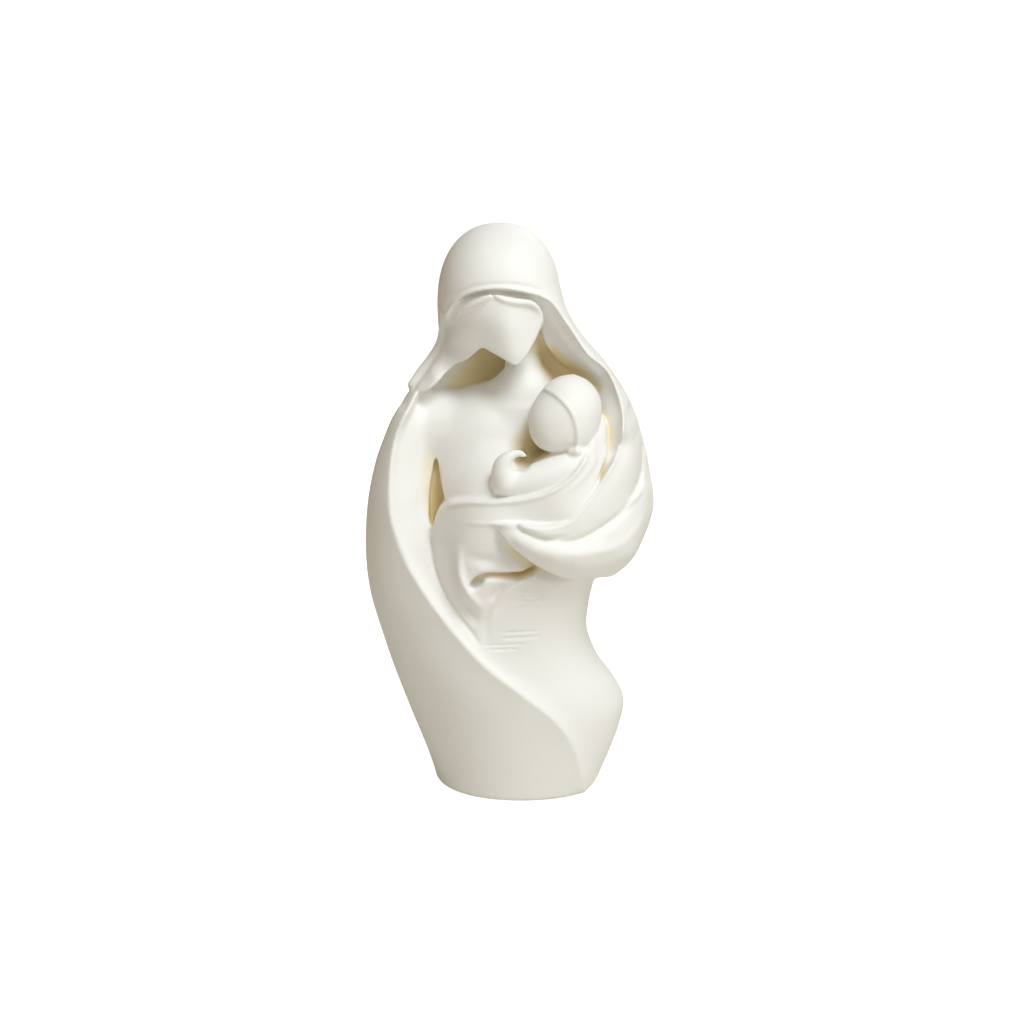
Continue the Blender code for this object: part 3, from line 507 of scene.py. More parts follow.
def front_hollow():
    """The hollow that the face, the breast and the baby stand in."""
    outline = VEIL_EDGE[:12] + [
        (37, 139), (30, 131), (22, 125), (-20, 118), (-32, 120), (-34, 132), (-34, 150), (-34, 166),
        (-34, 175), (-30, 183), (-27.5, 191),
    ]
    floor = drape([
        (-8, 25.2, 215), (-22, 17, 209), (10, 21.6, 212), (-10, -4, 188), (14, 0, 184), (30, 7, 177),
        (41, 18, 168), (41.5, 20.5, 157), (38, 27, 144), (31, 33.5, 135), (22, 38, 126), (0, 24, 124),
        (-32, 0, 132), (-34, 0, 166), (0, 4, 150), (-28, 10, 196),
    ])
    return hollow(outline, floor, 3.0)


def inner_veil():
    """The veil's inner side, to the right of the face."""
    outline = [
        (9, 215), (16, 211.5), (22.8, 202.6), (30.8, 190.8), (39.8, 181), (45.6, 168), (45.4, 158),
        (43.8, 151.4), (40.8, 145.4), (38.4, 150), (37.2, 159), (37.6, 170), (34, 174.4), (28, 178),
        (22, 181.4), (16.5, 187), (13, 194), (11, 202), (10, 208),
    ]
    front = drape([
        (14.5, 22, 211.3), (21.9, 20.4, 201.8), (30.1, 20.4, 190), (39.6, 17.4, 180.6),
        (45, 21.5, 167), (44, 25, 156), (43, 27, 151), (40.6, 28, 146), (38.6, 24, 151),
        (40.5, 21, 157), (40, 18, 166), (12, 12, 198), (17.5, 8, 187), (26, 6.5, 181), (35, 10, 175),
        (15.5, 17, 202), (23.5, 14, 190), (33, 13, 181),
    ])
    return slab(outline, front, -8, 0.8)


INNER_FOLD = [(13.5, 207), (18.4, 199), (25, 189.6), (33, 182), (40, 173)]


def face():
    """The blank face and, to its left, the hair that falls to the shoulder under the veil."""
    outline = [
        (-28.6, 203), (-26, 208), (-19, 211.4), (-8, 213.8), (3, 212), (9, 210.4), (12.2, 204.4),
        (11.6, 199.4), (8, 193), (4.4, 187.2), (1.3, 185.2), (-2.8, 187.4), (-8.1, 190.2),
        (-12.1, 191.6), (-15.4, 188.8), (-18.7, 186), (-23.3, 183.7), (-27.1, 180.1), (-30.9, 176),
        (-35, 172.8), (-38.6, 172), (-39.6, 173.6), (-36.4, 178.6), (-32.2, 184.4), (-28.8, 192),
        (-28.6, 199),
    ]
    front = drape([
        (-8, 28, 212), (6, 27, 211), (11.5, 23.4, 203), (-1, 30, 200), (0.5, 28.5, 190),
        (1.3, 27.2, 186), (8, 25, 194), (-8, 26.5, 191), (-12, 26, 198), (-22, 19.5, 200),
        (-26.4, 16.4, 203), (-26, 14.8, 193), (-22, 17.4, 187), (-28, 15, 181), (-39, 13, 174.5),
        (-33, 14, 180), (-28.8, 9, 200), (-29, 8, 192), (-32.4, 8.6, 185.4), (-36, 9.6, 180.4),
    ])
    return slab(outline, front, 0, 1.4)


def beside_face():
    """Where the veil and the hood turn away on the viewer's left."""
    outline = [
        (-24, 204), (-21, 199), (-21, 190), (-26, 179), (-34, 168), (-46, 164), (-54, 176), (-46, 192),
        (-41, 201), (-32, 206),
    ]
    front = drape([
        (-25.4, 20, 206), (-27.6, 16, 206), (-25, 17.2, 199), (-26, 15, 192), (-28.4, 13, 185.5),
        (-33, 10.5, 180), (-38.5, 7.5, 175.5), (-43, 10, 168), (-31.2, -1, 206), (-31.2, -3, 196),
        (-33.6, -3, 189), (-38.4, -3, 182), (-43.6, -3, 175), (-47.5, 2, 167),
    ])
    return outline, front


def veil_side():
    """The veil's edge on the viewer's left, from the brow to its tip on the shoulder."""
    return limb([
        (-27.6, 12, 206, 1.0), (-28.6, 9, 199, 1.5), (-29.6, 6, 191.6, 1.9), (-33, 5.4, 185, 2.2),
        (-37.2, 6.4, 179, 2.6), (-41, 8.4, 174, 2.4),
    ])


def hair():
    left = limb([
        (-22.4, 22, 205.2, 0.7), (-17, 25.4, 208.8, 1.4), (-12, 27.4, 211.4, 1.5),
        (-8.8, 28.6, 213.2, 0.9),
    ])
    right = limb([
        (-6.4, 28.6, 213.2, 0.8), (-2.6, 28.6, 211.4, 1.2), (2.4, 28.2, 210.6, 1.4), (7, 27, 210.2, 1.3),
        (10.4, 24.6, 207.6, 1.0), (12.2, 21.4, 203.8, 0.7), (12.4, 19, 199.5, 0.5),
    ])
    return left, right


def neck():
    return limb([(3, 0, 198, 7.5), (4, 3.5, 186, 7), (5, 5, 178, 8.5), (5, 4, 168, 13.5)])


def breast():
    return [
        egg((-9, 1, 144), (28, 23.5, 30), -4),
        egg((-30, 0, 156.5), (12, 15, 15), 10),
        egg((6, 2, 160), (18, 17, 17)),
        egg((-7, 13, 128), (23.5, 28, 24)),
        egg((-32, 0, 128), (9, 15, 26)),
    ]


def arm_gap():
    """The deep gap between the mother's arm and her side."""
    outline = [
        (-31.6, 144.8), (-33.5, 136), (-34.4, 127.6), (-33.8, 119), (-31, 116.4), (-25, 119),
        (-26.6, 125.5), (-29.2, 134),
    ]
    floor = drape([(-33, 10, 144), (-34, 13, 130), (-33, 18, 118), (-27, 16, 125), (-29, 14, 134)])
    return hollow(outline, floor, 1.0)


def upper_arm():
    """The arm strip between the cloak's ridge and the breast or the bundle."""
    outline = [
        (-38.6, 174.6), (-34, 178.5), (-28, 177), (-26, 164), (-27, 148), (-28, 136), (-22, 126),
        (-18, 116), (-16, 104), (-13, 92), (-9, 80), (-7, 71), (-6.6, 63), (-10.3, 61.3),
        (-23.4, 75.8), (-34.9, 91.4), (-44.4, 106.7), (-49.9, 123), (-50.7, 133.3), (-49.9, 146),
        (-47.6, 156), (-43.2, 165.5), (-39.5, 172),
    ]
    front = drape([
        (-37, 1, 173), (-41, 7, 170.5), (-43.4, 15, 165), (-47.6, 20.6, 156), (-49.9, 24.2, 146),
        (-50.7, 28, 133), (-49.9, 30.5, 123), (-44.4, 33.2, 107), (-35, 34.9, 91), (-23.4, 36.4, 76),
        (-10, 37, 61), (-30, 1, 171.5), (-30, 8, 162), (-29, 10, 150), (-32, 14, 138), (-33, 20, 128),
        (-33, 29, 116), (-30, 32.6, 104), (-25, 34.6, 92), (-17, 36.2, 79), (-20, 30, 120),
        (-18, 32, 106), (-14, 35, 92), (-8, 37, 66), (-40, 16.5, 155), (-41, 24.5, 130),
        (-39, 31.5, 112),
    ])
    return outline, front


def bundle():
    outline = [
        (-13, 69.5), (-21.8, 81.9), (-27, 90.3), (-32.7, 106), (-33, 114), (-31, 123.4), (-26, 129.6),
        (-19, 131.8), (-4.8, 132.6), (4.8, 133.8), (13.6, 136.2), (22, 140.6), (27.4, 146),
        (31.4, 152.6), (33.4, 159), (36, 163), (38.6, 160), (38.8, 153.6), (37.6, 146.4),
        (35.6, 139.6), (32.4, 132.4), (27, 125), (18, 118), (27, 108), (12, 101), (4.9, 97.2),
        (-4.1, 87.3), (-10.3, 76.5),
    ]
    front = drape([
        (-13, 37.4, 70), (-21.5, 37.2, 82), (-27, 36, 91), (-31, 34.4, 101), (-33, 32.4, 112),
        (-30, 35, 124), (-19, 42, 131), (-5, 45.5, 132), (8, 46, 134), (20, 45, 139), (28.5, 41, 146),
        (34.4, 32, 156), (36, 26.5, 162), (38, 25.5, 160), (38.4, 28, 153), (36.6, 32.6, 146),
        (33.6, 37, 139.6), (28.6, 42, 132.6), (24, 44.6, 127), (25, 40, 105), (-20, 43, 114),
        (-5, 46.3, 123), (-10, 45.6, 116), (-9, 43.4, 107), (-2, 40.4, 104.4), (-4, 43, 113),
        (1.5, 37, 109.6), (8, 33.6, 104), (14, 33, 99.6), (4, 37, 100.4), (5, 36, 97.4),
        (-3.5, 36.3, 87), (-10, 36.9, 76), (-15, 42, 94),
    ])
    return slab(outline, front, 0, 1.6)


BLANKET_RIM = [
    (-27, 129), (-19, 131.6), (-5, 132.4), (5, 133.6), (14, 136), (21.5, 140.2),
    (27.4, 146), (31, 152),
]
BUNDLE_SIDE = [
    (-33, 114), (-32.7, 106.5), (-30.3, 98.2), (-27, 90.3), (-21.8, 81.9), (-16.4, 74.8), (-13.6, 70),
]


def baby_body():
    """The baby's body and sleeve, in front of the breast."""
    outline = [
        (30, 152.5), (20, 151), (12, 147.4), (6.4, 144), (0.5, 142), (-4.5, 141), (-8.4, 139),
        (-9.2, 135), (-6, 131), (5, 131), (22, 136), (34, 148),
    ]
    front = drape([
        (30, 33, 151), (18, 36, 148.5), (6, 37, 144.5), (-4, 36, 146), (-8, 34, 138), (-4, 39, 134),
        (8, 42.5, 135), (22, 41.5, 142), (34, 34, 152),
    ])
    return slab(outline, front, 0, 2.4)


def baby_shoulder():
    return egg((34, 23.6, 146), (6, 7, 7))


def baby_arm():
    return limb([
        (30, 34, 147.5, 4.4), (22, 36, 144.2, 6.2), (11, 37.6, 140.4, 6.7), (2, 38.6, 138.6, 5.8),
        (-3.6, 39, 139, 5.2),
    ])


def baby_fist():
    return limb([
        (-2.8, 40, 139.5, 5.3), (-4, 41, 144.5, 4.2), (-3.2, 41.6, 148.2, 3.2), (0, 41.6, 151, 1.9),
        (3.2, 41, 151.5, 1.4), (5.6, 40, 149.6, 1.0),
    ])


def fist_hole():
    """The dark hollow inside the bent hand."""
    return egg((4.2, 34, 146.8), (3.8, 16, 3.1), -25)


def baby_head():
    skull = egg((23.2, 25.5, 166.6), (13.4, 14, 14.2), 12)
    nape = egg((24.4, 25.5, 160.4), (10.8, 12, 12.2))
    cheeks = egg((19.2, 28.5, 161.4), (12.4, 12, 11.4), -8, 2.4)
    ear = egg((25.2, 37.4, 151.2), (2.8, 2.6, 1.9))
    return skull, nape, cheeks, ear


CAP_LINE = [
    (9.5, 176), (15, 175.6), (19.4, 173), (23.4, 168.6), (25.6, 163), (26.2, 156.5), (25.4, 150.5),
]


VEIL_FOLD_FRONT = [
    (45, 25, 166), (44, 30, 153), (37.3, 37.5, 140.3), (27.8, 44, 129.2), (22, 47, 124), (5, 48.5, 123),
    (-7, 47, 123.6), (-15, 43.2, 123), (-10, 44, 120), (50, 17.5, 160), (54, 11.5, 150), (54, 14.5, 140),
    (51, 21, 131), (46, 29, 125.5), (38, 36.4, 120.5), (26, 43.4, 116), (16, 46, 114), (0, 47, 118),
    (58.5, -3, 141), (56, -3, 152), (50, 25, 140), (52, -3, 163),
]


def beside_sleeve():
    """Where the veil's front falls away to the right, above the sleeve."""
    outline = [
        (47, 168), (46, 156), (43, 146), (36, 136), (28, 127), (36, 120), (46, 124), (52, 130),
        (60, 131), (67, 134), (67, 150), (62, 166),
    ]
    return outline, drape(VEIL_FOLD_FRONT)


def veil_fold():
    """The veil's fold under the baby, from the viewer's right round to the hand."""
    outline = [
        (45.4, 166), (44.4, 154), (41, 146), (37.3, 140.3), (33.2, 135.2), (27.8, 129.2), (23, 124.6),
        (14.5, 122.9), (5, 123.2), (-5, 124), (-15, 124), (-16, 121.6), (0, 117.6), (17, 110.5),
        (25.5, 112), (39, 116.5), (47, 122.5), (51, 130), (51.5, 145), (49.6, 157), (48, 164),
    ]
    return slab(outline, drape(VEIL_FOLD_FRONT), 0, 1.4)


SLEEVE_FRONT = [
    (-6, 47, 122), (-2.5, 49.6, 120), (3, 51.5, 117), (9, 51, 114), (16.4, 50.5, 113),
    (25.4, 47, 111.6), (35.7, 41.5, 111.2), (43.4, 35.5, 112), (50, 28, 115), (54.5, 20, 121),
    (57.5, 11, 130), (0, 47, 113), (8, 45, 106.6), (18, 42, 100.8), (30, 36, 98), (41, 27.5, 98.6),
    (49, 20, 101.6), (53.5, 14, 106), (57, 9, 113), (59, 8, 121), (4, 50, 121), (14, 47, 118),
    (25.5, 43, 116.4), (37.6, 36.2, 120.8), (45.6, 29, 125.8), (51.4, 20.5, 131.5), (54.4, 14, 140),
    (30, 36, 122.6), (43, 24, 129.4), (61.4, -4, 122), (60.4, -4, 131), (59.4, -4, 113),
    (56.4, -4, 106), (58, -4, 140),
]


def sleeve_side():
    """The sleeve's upper arm on the far right, where it turns away."""
    outline = [
        (28, 119), (22, 108), (26, 98), (40, 96), (50, 98), (62, 100), (68, 112), (68, 134), (62, 143),
        (55.4, 143), (52.4, 132), (46, 126), (38, 121.4),
    ]
    return outline, drape(SLEEVE_FRONT)


def hand_and_sleeve():
    outline = [
        (-6.4, 121.6), (-2.8, 116.8), (2.4, 112.1), (7.7, 107.4), (12.9, 103.8), (18.3, 100.6),
        (23.7, 98.6), (30, 97.6), (34.7, 97.4), (41.1, 98.3), (48, 101), (52, 106), (54, 113),
        (54, 122), (51.5, 129), (48, 129.5), (43.6, 127), (37, 123.2), (31, 121), (25.5, 119),
        (20.2, 118), (14, 118), (8, 120.4), (2, 123), (-3, 124.2),
    ]
    return slab(outline, drape(SLEEVE_FRONT), 0, 1.4)


def under_hand():
    """The deep shade between the hand and the cloth under it."""
    return limb([
        (-5, 46.8, 117.8, 1.8), (0, 42.4, 112.6, 4.4), (7, 39.4, 106.8, 4.8), (14, 38, 102, 4.2),
        (22, 37, 98, 2),
    ])


def thumb():
    return limb([
        (3.4, 49.4, 124.2, 0.8), (6.2, 49.8, 122.8, 1.3), (10, 49.4, 121.4, 1.6),
        (14.5, 48, 120.6, 2.0), (19, 45.6, 120.8, 2.4), (24, 42, 121.6, 2.4),
    ])


SLEEVE_CREASE = [
    (54.4, 152), (54.6, 142.5), (53.2, 135.4), (50, 129), (45, 124.4), (38, 120.4), (32, 117.6),
    (25, 115.7), (18, 115),
]
SLEEVE_RIDGE = [
    (56.6, 125), (53.6, 119.6), (49.4, 115), (43.4, 112), (35.7, 111.2), (25.4, 111.6),
    (16, 114),
]
CLOAK_RIDGE = [
    (-37.5, 174.5), (-43.2, 165.5), (-47.6, 156), (-49.9, 146), (-50.7, 133.3), (-49.9, 123),
    (-44.4, 106.7), (-34.9, 91.4), (-23.4, 75.8), (-10.3, 61.3), (5, 48.9), (18.8, 36.8), (26.5, 23.8),
    (30.4, 8), (31.4, -4),
]


def model_clay(step_size):
    """The whole figure in clay, each form laid on, cut or pressed in after the ones before it."""
    clay = Clay(step_size)
    clay.add(skirt())
    clay.add(cloak(), blend=2.0)
    clay.add(hood(), blend=4.0)
    clay.press(*beside_face(), soft=5.0)
    clay.press(*upper_arm(), soft=3.0)
    clay.stroke(CLOAK_RIDGE[::-1], crest(3.4, 24, 3.4, 0.04), behind=4, ease=14)
    clay.stroke(CLOAK_RIDGE[:5:-1], crest(1.1, 5, 0.9, 0.1, 0.4), behind=4, ease=14)
    clay.press(*beside_sleeve(), soft=3.0)
    clay.press(*sleeve_side(), soft=3.0)
    clay.cut(front_hollow(), blend=0.8)
    clay.stroke(HOOD_HEM, furrow(-0.8, 0.6, 0.1), behind=10, ease=8)
    for form in breast():
        clay.add(form, blend=5.0)
    clay.cut(arm_gap(), blend=0.6)
    clay.add(neck(), blend=7.0)
    clay.add(inner_veil(), blend=1.0)
    clay.stroke(INNER_FOLD, furrow(1.8, 2.2, 0.3), behind=2, ease=6)
    clay.add(face(), blend=1.0)
    clay.add(veil_side(), blend=2.0)
    for lock in hair():
        clay.add(lock, blend=0.8)
    clay.add(bundle(), blend=0.6)
    clay.stroke(BUNDLE_SIDE, furrow(-1.0, 0.8, 0.1), behind=20, ease=6)
    clay.stroke(BLANKET_RIM, furrow(1.2, 1.0, 0.08), behind=24, ease=6)
    clay.add(baby_body(), blend=1.5)
    clay.add(baby_arm(), blend=1.0)
    clay.add(baby_shoulder(), blend=3.0)
    clay.add(baby_fist(), blend=1.0)
    clay.cut(fist_hole(), blend=0.8)
    clay.add(veil_fold(), blend=0.8)
    skull, nape, cheeks, ear = baby_head()
    head = Clay.joined(Clay.joined(skull, nape, 2.0), cheeks, 4.0)
    clay.add(head, blend=0.4)
    clay.add(ear, blend=1.0)
    clay.cut(under_hand(), blend=2.0)
    clay.add(hand_and_sleeve(), blend=0.8)
    clay.add(thumb(), blend=0.8)
    clay.stroke(CAP_LINE, step(0.6, 7, 0.9, 0.06), behind=26, ease=4)
    clay.stroke(CAP_LINE, furrow(0.55, 0.9, 0.06), behind=26, ease=4)
    clay.stroke(VEIL_EDGE[1:], furrow(0.75, 0.75, 0.06), behind=10, ease=6)
    clay.stroke(SLEEVE_CREASE, furrow(-1.4, 1.3, 0.1), behind=2, ease=6)
    clay.stroke(SLEEVE_RIDGE, furrow(0.8, 2.0, 0.25), behind=2, ease=6)
    shape_folds(clay)
    clay.soften()
    foot = -clay.axes[2][None, None, :]
    clay.values = smooth_max(clay.values, foot, FOOT_ROUNDING).astype(np.float32)
    return clay


SLIT = [
    (-15.5, 97.9), (-13, 100), (-9, 100.9), (-2.8, 100.2), (3.3, 99.8), (7.3, 101), (9.8, 102.9),
]
# The folds below the hand: each path with its rise, which is below zero in a groove, its width, and
# the share of its length over which its ends fade.
LAP_FOLDS = {
    "above the slit": ([(-18, 107.6), (-14.4, 108.2), (-9, 107.4), (-3, 106)], -1.2, 2.2, 0.5),
    "roll": (
        [(-21, 114), (-21.8, 107), (-21.2, 100), (-18.6, 94), (-14.9, 89), (-10.6, 84.6)], 2.3, 2.0, 0.5,
    ),
    "beside the roll": ([(-20.6, 91), (-18.9, 87), (-16.4, 82.7), (-14, 78)], -1.6, 2.2, 0.5),
    "lap's edge": ([(9.8, 102), (3.3, 97.4), (-3.3, 92.1), (-7, 86.6), (-8.9, 79.3)], 1.3, 1.2, 0.4),
    "under the lap": ([(-2.6, 97), (-6.6, 93), (-9.6, 89)], -1.4, 1.8, 0.5),
    "valley beside the veil's fold": (
        [(38.6, 146.5), (36.6, 141.8), (33.4, 136.2), (29, 130.8), (24.6, 126), (20.6, 123.6)],
        -0.9, 0.6, 0.2,
    ),
}
# The thin rims of the jaw, of the hand and of the veil's inner side.
THIN_RIMS = [
    [
        (-12.2, 191.4), (-7.4, 189.2), (-2, 186.5), (1.2, 185.3), (4.3, 186.7), (7.2, 191.2),
        (10.6, 197.4),
    ],
    [(-5.2, 121), (-1.6, 117), (3.2, 112.6), (8.4, 108.2), (13.4, 104.6), (18.8, 101.6), (24, 99.7)],
    [(12.4, 196), (14.6, 191.2), (17.6, 187.2), (22.3, 182.8), (27, 180)],
]
# The long folds down the back: each path with its depth and its width.
BACK_FOLDS = [
    ([(-3, 198), (-10, 172), (-20, 140), (-26, 108), (-22, 76), (-10, 44), (4, 22)], 2.6, 5.0),
    ([(6, 192), (10, 166), (16, 136), (19, 112), (14, 88), (6, 70)], 2.2, 4.6),
    ([(-18, 178), (-32, 148), (-41, 118), (-41, 88), (-31, 58), (-18, 36)], 2.0, 4.4),
    ([(18, 176), (30, 150), (38, 128), (38, 112)], 1.8, 4.0),
]
SWELL_GAP = 2.2  # from a back fold to the swell beside it, in widths of the fold
SWELL_RISE = 0.6  # of that swell, as a share of the fold's depth


def slit_corner():
    """The small dark corner at the slit's left end."""
    return egg((-14.6, 43, 97.8), (4.2, 7, 2.2), -40)


def shape_folds(clay):
    """The folds below the hand, thin rims, and the long folds down the back."""
    clay.stroke(SLIT, furrow(-6.0, 1.0, 0.2), behind=20, ease=8)
    clay.cut(slit_corner(), blend=1.2)
    for path, rise, width, fade in LAP_FOLDS.values():
        clay.stroke(path, furrow(rise, width, fade), behind=20, ease=8)
    for rim in THIN_RIMS:
        clay.stroke(rim, furrow(0.55, 0.6, 0.15), behind=2, ease=4)
    for path, depth, width in BACK_FOLDS:
        clay.stroke(path, furrow(-depth, width, 0.35), behind=4, ease=16, facing=-1)
        beside_it = [(x + SWELL_GAP * width, z) for x, z in path]
        clay.stroke(beside_it, furrow(SWELL_RISE * depth, width, 0.4), behind=4, ease=16, facing=-1)


# From clay to a Blender object


def skin_nodes(clay):
    """A node group that turns the sampled values of the block into a closed mesh.

    Each place in the volume takes the value of the block's nearest point, found by its row number.
    """
    group = bpy.data.node_groups.new("skin", "GeometryNodeTree")
    group.interface.new_socket("Geometry", in_out="INPUT", socket_type="NodeSocketGeometry")
    group.interface.new_socket("Geometry", in_out="OUTPUT", socket_type="NodeSocketGeometry")
    nodes = group.nodes
    link = group.links.new
    counts = clay.values.shape
    low = [axis[0] for axis in clay.axes]

    def vector_math(operation, source, value):
        node = nodes.new("ShaderNodeVectorMath")
        node.operation = operation
        node.inputs[1].default_value = value
        link(source, node.inputs[0])
        return node.outputs

    place = nodes.new("GeometryNodeInputPosition").outputs[0]
    offset = vector_math("SUBTRACT", place, low)[0]
    cell = vector_math("DIVIDE", offset, (clay.step,) * 3)[0]
    nearest = vector_math("ADD", cell, (0.5,) * 3)[0]
    whole = nodes.new("ShaderNodeVectorMath")
    whole.operation = "FLOOR"
    link(nearest, whole.inputs[0])
    row = vector_math("DOT_PRODUCT", whole.outputs[0], (counts[1] * counts[2], counts[2], 1))[1]
    index = nodes.new("FunctionNodeFloatToInt")
    link(row, index.inputs[0])
    values = nodes.new("GeometryNodeInputNamedAttribute")
    values.data_type = "FLOAT"
    values.inputs["Name"].default_value = "clay"
    sample = nodes.new("GeometryNodeSampleIndex")
    source = nodes.new("NodeGroupInput")
    link(source.outputs[0], sample.inputs["Geometry"])
    link(values.outputs[0], sample.inputs["Value"])
    link(index.outputs[0], sample.inputs["Index"])
    volume = nodes.new("GeometryNodeVolumeCube")
    volume.inputs["Background"].default_value = -AIR
    volume.inputs["Min"].default_value = low
    volume.inputs["Max"].default_value = [axis[-1] for axis in clay.axes]
    for name, count in zip("XYZ", counts):
        volume.inputs["Resolution " + name].default_value = count
    link(sample.outputs[0], volume.inputs["Density"])
    mesh = nodes.new("GeometryNodeVolumeToMesh")
    mesh.inputs["Threshold"].default_value = 0.0
    link(volume.outputs[0], mesh.inputs["Volume"])
    result = nodes.new("NodeGroupOutput")
    link(mesh.outputs[0], result.inputs[0])
    return group


def evaluated_mesh(obj):
    graph = bpy.context.evaluated_depsgraph_get()
    return bpy.data.meshes.new_from_object(obj.evaluated_get(graph))


def skin(clay, name):
    """The mesh of the block's surface, in metres, with +Y to the back."""
    points = bpy.data.meshes.new("block")
    points.vertices.add(clay.values.size)
    points.attributes.new("clay", "FLOAT", "POINT").data.foreach_set("value", -clay.values.ravel())
    block = bpy.data.objects.new("block", points)
    bpy.context.scene.collection.objects.link(block)
    block.modifiers.new("skin", "NODES").node_group = skin_nodes(clay)
    mesh = evaluated_mesh(block)
    bpy.data.objects.remove(block)
    mesh.name = name
    mesh.materials.clear()
    places = np.empty(len(mesh.vertices) * 3, np.float32)
    mesh.vertices.foreach_get("co", places)
    places = places.reshape(-1, 3) * (1, -1, 1) * HEIGHT / SHARES
    mesh.vertices.foreach_set("co", places.ravel())
    mesh.flip_normals()
    return mesh


# The faint lines in the lap, each from west to east at its height.
LAP_LINES = [
    (0.8, 14, 92.7), (0.8, 14, 90.6), (0.8, 14, 88.4), (-4.9, 12.4, 75.2), (-4.9, 12.4, 72.7),
    (-13.2, 6.6, 69.9), (-10.3, 3.7, 67.9),
]


# Hollows where more warm shade is painted in, for the light warmed by the cloth on both sides. Each has
# its half width in shares, how much deeper it counts than its form alone, and the run of (x, z) places
# along it.
PAINTED_SHADE_HOLLOWS = {
    "valley beside the baby": (
        4.5, 0.10,
        [(40.6, 169.6), (41.1, 163.4), (40.8, 157.1), (40, 150.8), (38.7, 145.8), (36.6, 141.1)],
    ),
    "veil above the baby": (5.0, 0.20, [(18.1, 188.3), (23.9, 181.9), (31.2, 178.4), (36.9, 173.8)]),
    "gap over the brow": (
        2.2, 0.16,
        [(-22.9, 210.4), (-19.2, 213), (-13.5, 214.8), (-8, 215.6), (-0.8, 214.8), (6.4, 213)],
    ),
    "slit in the lap": (
        3.4, 0.16, [(-16.4, 97.4), (-13, 100.4), (-4.9, 101), (3.2, 100.5), (9.4, 102.5)],
    ),
}


def closeness(clay, reach):
    """How much clay lies within reach of each sampled point: half on a flat face, more in a fold."""
    filled = np.clip(0.5 - clay.values / clay.step, 0, 1)
    width = max(1, int(round(reach / clay.step)))
    for axis in range(3):
        total = np.cumsum(filled, axis=axis)
        place = np.arange(filled.shape[axis])
        ahead = np.take(total, np.minimum(place + width, place[-1]), axis)
        behind = np.take(total, np.maximum(place - width - 1, 0), axis)
        filled = (ahead - behind) / (2 * width + 1)
    return filled


def sampled(values, clay, places):
    """The values at any (x, front, z) places, eased between the block's sampled points."""
    cell = [(places[:, i] - clay.axes[i][0]) / clay.step for i in range(3)]
    cell = [np.clip(cell[i], 0, len(clay.axes[i]) - 1.001) for i in range(3)]
    low = [part.astype(int) for part in cell]
    share = [part - whole for part, whole in zip(cell, low)]
    found = 0
    for i in (0, 1):
        for j in (0, 1):
            for k in (0, 1):
                across, deep, up = [np.abs(1 - side - part) for side, part in zip((i, j, k), share)]
                found = found + across * deep * up * values[low[0] + i, low[1] + j, low[2] + k]
    return found


def close_to(run, width, places):
    """1 for places on the run, easing to 0 at width from it, and 0 at the figure's back."""
    flat = places[:, (0, 2)]
    near = np.zeros(len(places))
    for start, end in zip(np.array(run[:-1]), np.array(run[1:])):
        along = end - start
        share = np.clip((flat - start) @ along / (along @ along), 0, 1)
        away = np.linalg.norm(flat - start - share[:, None] * along, axis=1)
        near = np.maximum(near, np.clip(1 - away / width, 0, 1))
    return np.where(places[:, 1] > 0, near * near * (3 - 2 * near), 0)


def note_folds(mesh, clay):
    """Writes to each point of the mesh how deep in a fold it lies, more in the listed hollows: how much
    shade the material paints there.
    """
    places = np.empty(len(mesh.vertices) * 3, np.float32)
    mesh.vertices.foreach_get("co", places)
    places = places.reshape(-1, 3) * (1, -1, 1) * SHARES / HEIGHT
    deep = sampled(closeness(clay, FOLD_REACH), clay, places)
    for width, deeper, run in PAINTED_SHADE_HOLLOWS.values():
        deep = deep + deeper * close_to(run, width, places)
    painted_shade_depth = mesh.attributes.new("painted_shade_depth", "FLOAT", "POINT")
    painted_shade_depth.data.foreach_set("value", deep.astype(np.float32))


def fine_lines(clay):
    """The faint level lines in the cloth of the lap."""
    for west, east, height in LAP_LINES:
        line = [(west, height), ((west + east) / 2, height), (east, height)]
        clay.stroke(line, furrow(-0.5, 0.4, 0.3), behind=20, ease=8)


def cast_figure():
    clay = model_clay(FINE_STEP)
    fine_lines(clay)
    mesh = skin(clay, NAME)
    figure = bpy.data.objects.new(NAME, mesh)
    bpy.context.scene.collection.objects.link(figure)
    mesh.calc_loop_triangles()
    fewer = figure.modifiers.new("fewer faces", "DECIMATE")
    fewer.ratio = min(1.0, FINE_TRIANGLES / len(mesh.loop_triangles))
    figure.data = evaluated_mesh(figure)
    figure.modifiers.clear()
    figure.data.name = NAME
    note_folds(figure.data, clay)
    figure.data.materials.clear()
    figure.data.materials.append(cream_cast())
    figure.data.shade_smooth()
    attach(figure, "root")
    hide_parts("mother_and_child")


